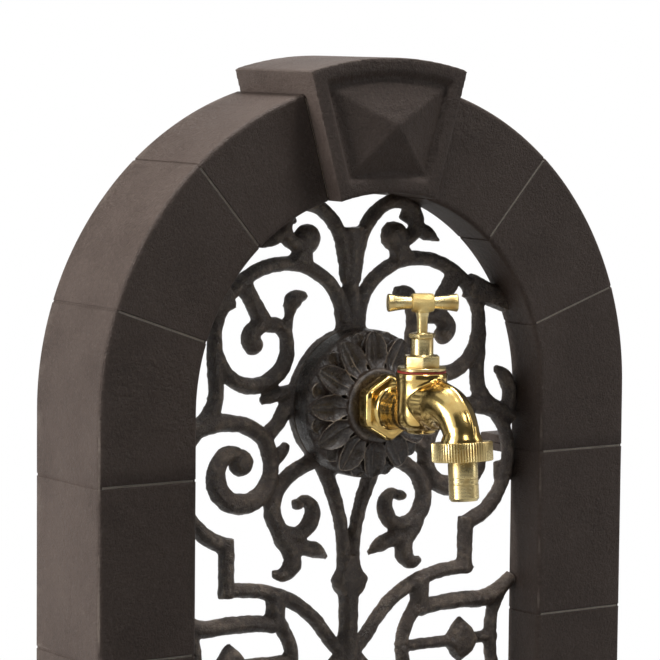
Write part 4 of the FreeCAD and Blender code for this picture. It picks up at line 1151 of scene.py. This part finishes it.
wall_hexagon = hexagon(flats=34, low=0, high=11.4, corner=3.2, rim=3.4)
root = turned(((0, 8), (13.4, 8), (13.2, 11), (12.4, 11.5), (11.5, 12.7), (11, 14.4), (10.7, 17),
               (10.7, 19), (0, 19)), steps=128)
wall_end = joined(wall_hexagon, root)
neck = turned(((0, 15), (10.2, 15), (10.7, 16.5), (10.7, 22), (11.2, 26), (11.4, 38.3), (0, 38.3)),
              steps=128)
for piece in (wall_end, neck):
    moved(piece, (0, HEXAGON_BACK, TAP_Z), TO_FRONT)
print("wall end:", len(wall_end.data.polygons), "faces")

# %% Chamber
def over_seat(points, steps=64):
    """A turned shape on the axis of the tap's chamber."""
    return moved(turned(points, steps), (0, CHAMBER_Y, 0))


chamber = over_seat(((0, -13), (6.8, -13), (8.4, -12.4), (9, -11.4), (9.3, -10.2), (11.6, -9.4),
                     (13.3, -7.6), (14.1, -5), (14.25, -2), (14.1, 8), (14.1, 15), (14.25, 17.5),
                     (14.25, 20.3), (13.8, 21), (0, 21)), steps=128)
print("chamber:", len(chamber.data.polygons), "faces")

# %% [markdown]
# ## Spout
# The spout's section is a circle with one point drawn up to a crease. It runs level out of the
# chamber, and spin then carries it round the bend. At the chamber it is thicker, most of all on the
# inner side of the bend, so each point is moved away from the spout's middle line by a swelling.

# %% Spout
BEND_Y, BEND_Z, BEND_RADIUS = -60, -15, 21
BEND_ANGLE = 85
BEND = math.radians(BEND_ANGLE)
SPOUT_Z = BEND_Z + BEND_RADIUS
SPOUT_RADIUS = 9.75
CREASE = ((3.2, 0.35), (1.9, 0.45), (0.7, 0.6))
clear()
bpy.ops.mesh.primitive_circle_add(
    vertices=96, radius=SPOUT_RADIUS, location=(0, BEND_Y, SPOUT_Z), rotation=FACING_FRONT)
spout = edit(settle(bpy.context.object))
for reach, rise in CREASE:
    pick("verts", lambda place, normal: abs(place.x) < reach and place.z > SPOUT_Z)
    shift(0, 0, rise)
pick("edges")
for into_chamber in (8, 9):
    pull(0, into_chamber, 0)
bpy.ops.mesh.edge_face_add()
pick("edges", lambda middle, along: near(middle.y, BEND_Y))
bpy.ops.mesh.spin(steps=48, angle=BEND, center=(0, BEND_Y, BEND_Z), axis=(-1, 0, 0))
print("spout bent by", BEND_ANGLE, "degrees")

# %% Outlet
OUTLET = Vector((0, BEND_Y - BEND_RADIUS * math.sin(BEND), BEND_Z + BEND_RADIUS * math.cos(BEND)))
AT_OUTLET = Matrix.Translation(OUTLET) @ Matrix.Rotation(math.radians(BEND_ANGLE - 90), 4, "X")
DOWN_OUTLET = AT_OUTLET.to_3x3() @ Vector((0, 0, -1))
pick("edges", lambda middle, along: abs((middle - OUTLET).dot(DOWN_OUTLET)) < 0.05)
bpy.ops.mesh.edge_face_add()
face_out()
clear()
print("outlet:", tuple(round(value, 1) for value in OUTLET))

# %% Swelling
SIDE_SWELL, OUTER_SWELL, INNER_SWELL = 0.34, 0.1, 0.6
for vertex in spout.data.vertices:
    bent = math.atan2(BEND_Y - vertex.co.y, vertex.co.z - BEND_Z) if vertex.co.y < BEND_Y else 0
    share = max(0, 1 - bent / BEND)
    outward = Vector((0, -math.sin(bent), math.cos(bent)))
    if bent:
        middle = Vector((0, BEND_Y, BEND_Z)) + outward * BEND_RADIUS
    else:
        middle = Vector((0, vertex.co.y, SPOUT_Z))
    offset = vertex.co - middle
    rise = offset.dot(outward)
    offset += Vector((offset.x, 0, 0)) * SIDE_SWELL * share ** 1.5
    offset += outward * rise * (OUTER_SWELL * share if rise > 0 else INNER_SWELL * share ** 2)
    vertex.co = middle + offset
print("spout:", len(spout.data.polygons), "faces")

# %% [markdown]
# ## Chamber, spout and neck in one
# Where the spout and the neck leave the chamber the real casting has no crease, only a long soft blend.
# So these three are smoothed many times over. The wall end, the chamber's rim, the collar and the thread
# are crisper, so they get a few passes or none. The rim is a ring, and leaves the valve its room.

# %% Chamber, spout and neck joined
body = cast_round(joined(chamber, spout, neck), grain=0.5, passes=36)
rim = over_seat(((12, 14), (13.6, 14), (14.1, 15.5), (14.25, 17.5), (14.25, 20.3), (13.8, 21), (12, 21),
                 (12, 14)), steps=128)
print("body:", len(body.data.polygons), "faces")

# %% Collar and thread
THREAD_TOP, THREAD_STEP = -1.2, 0.6
THREAD_RADII = (11.4, 13.1, 11.9, 13.1, 11.9, 13.1, 11.9, 12.6)
collar = turned(((0, 8), (9.4, 8), (9.7, 5.5), (10.2, 3.2), (11.1, 1.4), (11.3, 0.4),
                 (11.3, THREAD_TOP), (0, THREAD_TOP)), steps=128)
crests = [(radius, THREAD_TOP - THREAD_STEP * number) for number, radius in enumerate(THREAD_RADII)]
foot = crests[-1][1] - THREAD_STEP
thread = turned([(0, THREAD_TOP)] + crests + [(6.2, foot), (6.2, -2), (0, -2)])
for piece in (collar, thread):
    piece.data.transform(AT_OUTLET)
cast_round(wall_end, grain=0.5, passes=8)
tap = joined(body, rim, wall_end, collar, thread)
print("tap without its shank:", len(tap.data.polygons), "faces")

# %% Shank
shank = turned(((6.5, 24), (10.48, 24), (10.48, 77), (9.6, 78), (6.5, 78), (6.5, 24)), steps=48)
shank.data.transform(Matrix.Translation((0, GRILLE_FRONT, TAP_Z)) @ Matrix.Rotation(-math.pi / 2, 4, "X")
                     @ Matrix.Translation((0, 0, -40)))
tap = joined(tap, shank)
finish_piece(tap, "tap_body_casting", POLISHED_BRASS, "fountain", "polished_brass", "tap_body", smooth=60)

# %% [markdown]
# ## Headwork
# Above the chamber come the parts off the lathe: the bonnet's thin flange on a red washer, its hexagon
# and its neck, then the gland nut and the spindle. The hexagons have their corners knocked off.

# %% Bonnet, gland nut and spindle
def finish_turning(piece, node, body="fountain"):
    finish_piece(piece, node + "_turning", TURNED_BRASS, body, "machined_brass", node)


bonnet = joined(
    turned(((0, 22), (13.1, 22), (13.5, 22.4), (13.5, 23.5), (13.1, 24), (9.8, 24.1), (0, 24.1))),
    hexagon(flats=18.4, low=23.8, high=30.3, corner=0.5, rim=0.5, turn=30),
    turned(((0, 30), (7.4, 30), (6.6, 30.6), (6.25, 31.4), (6.25, 39.6), (5.9, 40), (0, 40))))
finish_turning(moved(bonnet, (0, CHAMBER_Y, 0)), "bonnet")

gland = joined(hexagon(flats=13.4, low=40, high=42.5, corner=0.4, rim=0.4, turn=12),
               turned(((0, 42), (4.6, 42.4), (4.2, 43), (0, 43)), steps=32))
finish_turning(moved(gland, (0, CHAMBER_Y, 0)), "gland_nut")

spindle = over_seat(((0, 5), (2.9, 5), (2.9, 44.4), (3, 44.8), (3, 48.6), (3.2, 51.5), (3.7, 53.6),
                     (3.7, 55), (0, 55)), steps=48)
finish_turning(spindle, "spindle", "handle")

# %% [markdown]
# ## Handle
# The handle's hub is a short barrel left rough from the sand. The bar through it is turned, thin
# beside the hub and flared to its ends. Both are drawn upright and then laid along the handle.

# %% Handle
HANDLE_Z = 59.3
HANDLE_TURN = math.radians(-27)
ALONG_HANDLE = (Matrix.Translation((0, CHAMBER_Y, HANDLE_Z)) @ Matrix.Rotation(HANDLE_TURN, 4, "Z")
                @ Matrix.Rotation(math.pi / 2, 4, "Y"))
barrel = turned(((0, -6.35), (4.5, -6.35), (5.1, -5.8), (5.3, -4), (5.35, 0), (5.3, 4), (5.1, 5.8),
                 (4.5, 6.35), (0, 6.35)))
barrel.data.transform(ALONG_HANDLE)
boss = over_seat(((0, 53.9), (4.0, 53.9), (4.4, 54.6), (4.9, 57), (0, 57)))
hub = joined(barrel, boss)
cast_round(hub, grain=0.35, passes=4)
roughen(hub, "grit", size=0.9, strength=0.22, level=0.9)
finish_piece(hub, "handle_hub_casting", CAST_BRASS, "handle", "polished_brass", "handle_hub", smooth=60)

arm = ((0, 5.5), (3.45, 5.5), (3.5, 8), (3.9, 12), (4.6, 16.4), (5.0, 18.6), (4.9, 19.1), (4.4, 19.5),
       (3.6, 19.3), (0, 19.2))
bar = joined(turned(arm, steps=48), turned([(radius, -height) for radius, height in arm], steps=48))
bar.data.transform(ALONG_HANDLE)
finish_turning(bar, "handle_bar", "handle")

# %% [markdown]
# ## Union nut
# The nut that holds the hose tail is knurled with fine straight ribs. Its cylinder has three columns
# of faces for each rib, and every third edge down its side is drawn in towards the axis.

# %% Union nut
RIBS = 66
COLUMNS = RIBS * 3
RIB_SHARE = 0.966
NUT_TOP, NUT_FOOT, NUT_RADIUS = -0.3, -10.8, 16.7
nut = drum(NUT_RADIUS, NUT_FOOT, NUT_TOP, ease=0.7, sides=COLUMNS)
edit(nut)
step = 2 * math.pi / COLUMNS
pick("verts", lambda place, normal: place.xy.length > NUT_RADIUS - 1
     and round((math.atan2(place.x, place.y) % (2 * math.pi)) / step) % 3 == 0)
bpy.ops.transform.resize(value=(RIB_SHARE, RIB_SHARE, 1), center_override=(0, 0, 0))
pick("faces", lambda middle, normal: abs(normal.z) > 0.9 and middle.xy.length < 1)
bpy.ops.mesh.inset(thickness=4.2)
bpy.ops.mesh.inset(thickness=1.2, depth=-0.5)
clear()
nut.data.transform(AT_OUTLET)
finish_piece(nut, "union_nut_knurled", TURNED_BRASS, "union_nut", "machined_brass", "union_nut", smooth=24)

# %% [markdown]
# ## Hose tail
# The tail is a plain turned tube for a short hose: a groove under the nut, two faint rings half way
# down where the tool stopped, and a chamfer round its open end.

# %% Hose tail
tail = turned(((0, -11.5), (6.3, -11.5), (6.3, -32.4), (7.1, -32.4), (8.2, -30.9), (8.2, -23.4),
               (8.0, -23.1), (8.0, -22.6), (8.2, -22.3), (8.2, -20.6), (8.0, -20.3), (8.0, -19.8),
               (8.2, -19.5), (8.2, -12.4), (7.9, -11.4), (7.9, -9.6), (0, -9.6)))
tail.data.transform(AT_OUTLET)
finish_turning(tail, "hose_tail", "hose_connector")

# %% [markdown]
# ## Basin
# The basin is a half-round casting against the jambs, with a lip round its top and joints scored down
# its front. A half disc is pulled up to the lip, widened there and pulled up again. The well is the
# top face inset and pushed down to the floor. The flat wall at the back is what the bolts go through.

# %% Half-round bowl
LIP_RADIUS = 186
LIP = 20
BASIN_WALL = 12
OUTLET_FORWARD = 92
DRAIN_RADIUS = 21.5


def front_half(radius, z):
    """A flat half disc in front of the arch's face, with all its points on its rim, left in edit mode."""
    clear()
    bpy.ops.mesh.primitive_circle_add(vertices=144, radius=radius, fill_type="NGON", location=(0, 0, z))
    piece = edit(settle(bpy.context.object))
    pick("faces")
    bpy.ops.mesh.bisect(plane_co=(0, 0, z), plane_no=(0, 1, 0), clear_outer=True)
    return piece


basin = front_half(OUTER, BASIN_FOOT)
pick("faces")
pull(0, 0, BASIN_TOP - LIP - BASIN_FOOT)
pull(0, 0, 0.5)
bpy.ops.transform.resize(value=(LIP_RADIUS / OUTER, LIP_RADIUS / OUTER, 1), center_override=(0, 0, 0))
pull(0, 0, LIP - 0.5)
face_out()
pick("faces", lambda middle, normal: near(middle.z, BASIN_TOP) and normal.z > 0.9)
bpy.ops.mesh.inset(thickness=BASIN_WALL, use_even_offset=True)
pull(0, 0, BASIN_FOOT + BASIN_WALL - BASIN_TOP)
print("bowl:", len(basin.data.polygons), "faces, before its scores")

# %% Basin scores
drain = drum(DRAIN_RADIUS, BASIN_FOOT - 5, BASIN_FOOT + BASIN_WALL + 5,
             y=-OUTLET_FORWARD, ease=0.1, sides=48)
take_out(basin, drain)
for angle in (30, 60, 90, 120, 150):
    groove = block(OUTER - 1.5, OUTER + 3, -1, 1, BASIN_FOOT - 1, BASIN_TOP - LIP - 0.2, ease=0.3)
    moved(groove, turn=Matrix.Rotation(math.radians(-angle), 4, "Z"))
    take_out(basin, groove)
cast_round(basin, grain=2.2, passes=2)
roughen(basin, "basin_sand", size=30, strength=0.5)
finish_block(basin, "basin", ending="_casting", smooth=60)

# %% [markdown]
# ## Plinth
# The plinth is as wide as the basin's lip in front and runs straight back as deep as the arch. It is
# hollow below, with walls of eight millimetres, and its top is open under the basin's outlet.

# %% Plinth
PLINTH_WALL = 8
PLINTH_BACK = DEPTH - 0.3
PLINTH_OPENING = 33.8


def d_plate(radius, back, z):
    piece = front_half(radius, z)
    pick("edges", lambda middle, along: near(middle.y, 0))
    pull(0, back, 0)
    pick("faces")
    bpy.ops.mesh.dissolve_limited(angle_limit=0.01)
    pick("faces")
    return piece


plinth = d_plate(LIP_RADIUS, PLINTH_BACK, GROUND)
pull(0, 0, BASIN_FOOT - GROUND)
face_out()
hollow = d_plate(LIP_RADIUS - PLINTH_WALL, DEPTH - PLINTH_WALL, GROUND - 5)
pull(0, 0, BASIN_FOOT - GROUND + 5 - PLINTH_WALL)
face_out()
clear()
take_out(plinth, hollow)
take_out(plinth, drum(PLINTH_OPENING, BASIN_FOOT - 20, BASIN_FOOT + 10, y=-OUTLET_FORWARD, ease=0.1))
cast_round(plinth, grain=2.0, passes=2)
finish_block(plinth, "plinth", ending="_casting", smooth=60)

# %% [markdown]
# ## The CAD's own parts
# Nuts, bolts, washers and the sealed parts of the tap already have their real shapes, so they stay as
# the CAD made them. Each only gets its finish. The parts that are dressed above are in the list too,
# so that no CAD part is left without one.

# %% Finishes on CAD parts
NODE_FINISHES = {
    BLOCK_CASTING: ["right_jamb", "left_jamb", "right_arch", "left_arch", "keystone", "plinth", "basin",
                    "rosette"],
    GRILLE_CASTING: ["grille"],
    POLISHED_BRASS: ["tap_body", "bonnet"],
    CAST_BRASS: ["handle_hub", "handle_bar"],
    TURNED_BRASS: ["gland_nut", "spindle", "union_nut", "hose_tail", "backnut", "jumper_valve",
                   "washer_nut"],
    PLATED_STEEL: ["surround_bolts", "surround_nuts", "plinth_bolts", "plinth_nuts", "basin_bolts",
                   "basin_nuts", "grille_screws", "drain_backnut"],
    BRIGHT_METAL: ["drain_strainer"],
    RUBBER: ["drain_seal", "seat_washer", "tail_washer", "back_washer", "gland_packing"],
    FIBRE: ["bonnet_seal"],
}
for finish, names in NODE_FINISHES.items():
    for name in names:
        slots = frame["nodes"][name].data.materials
        if not slots:
            slots.append(finish)
        for number in range(len(slots)):
            slots[number] = finish
print("finished CAD parts:", sum(len(names) for names in NODE_FINISHES.values()))
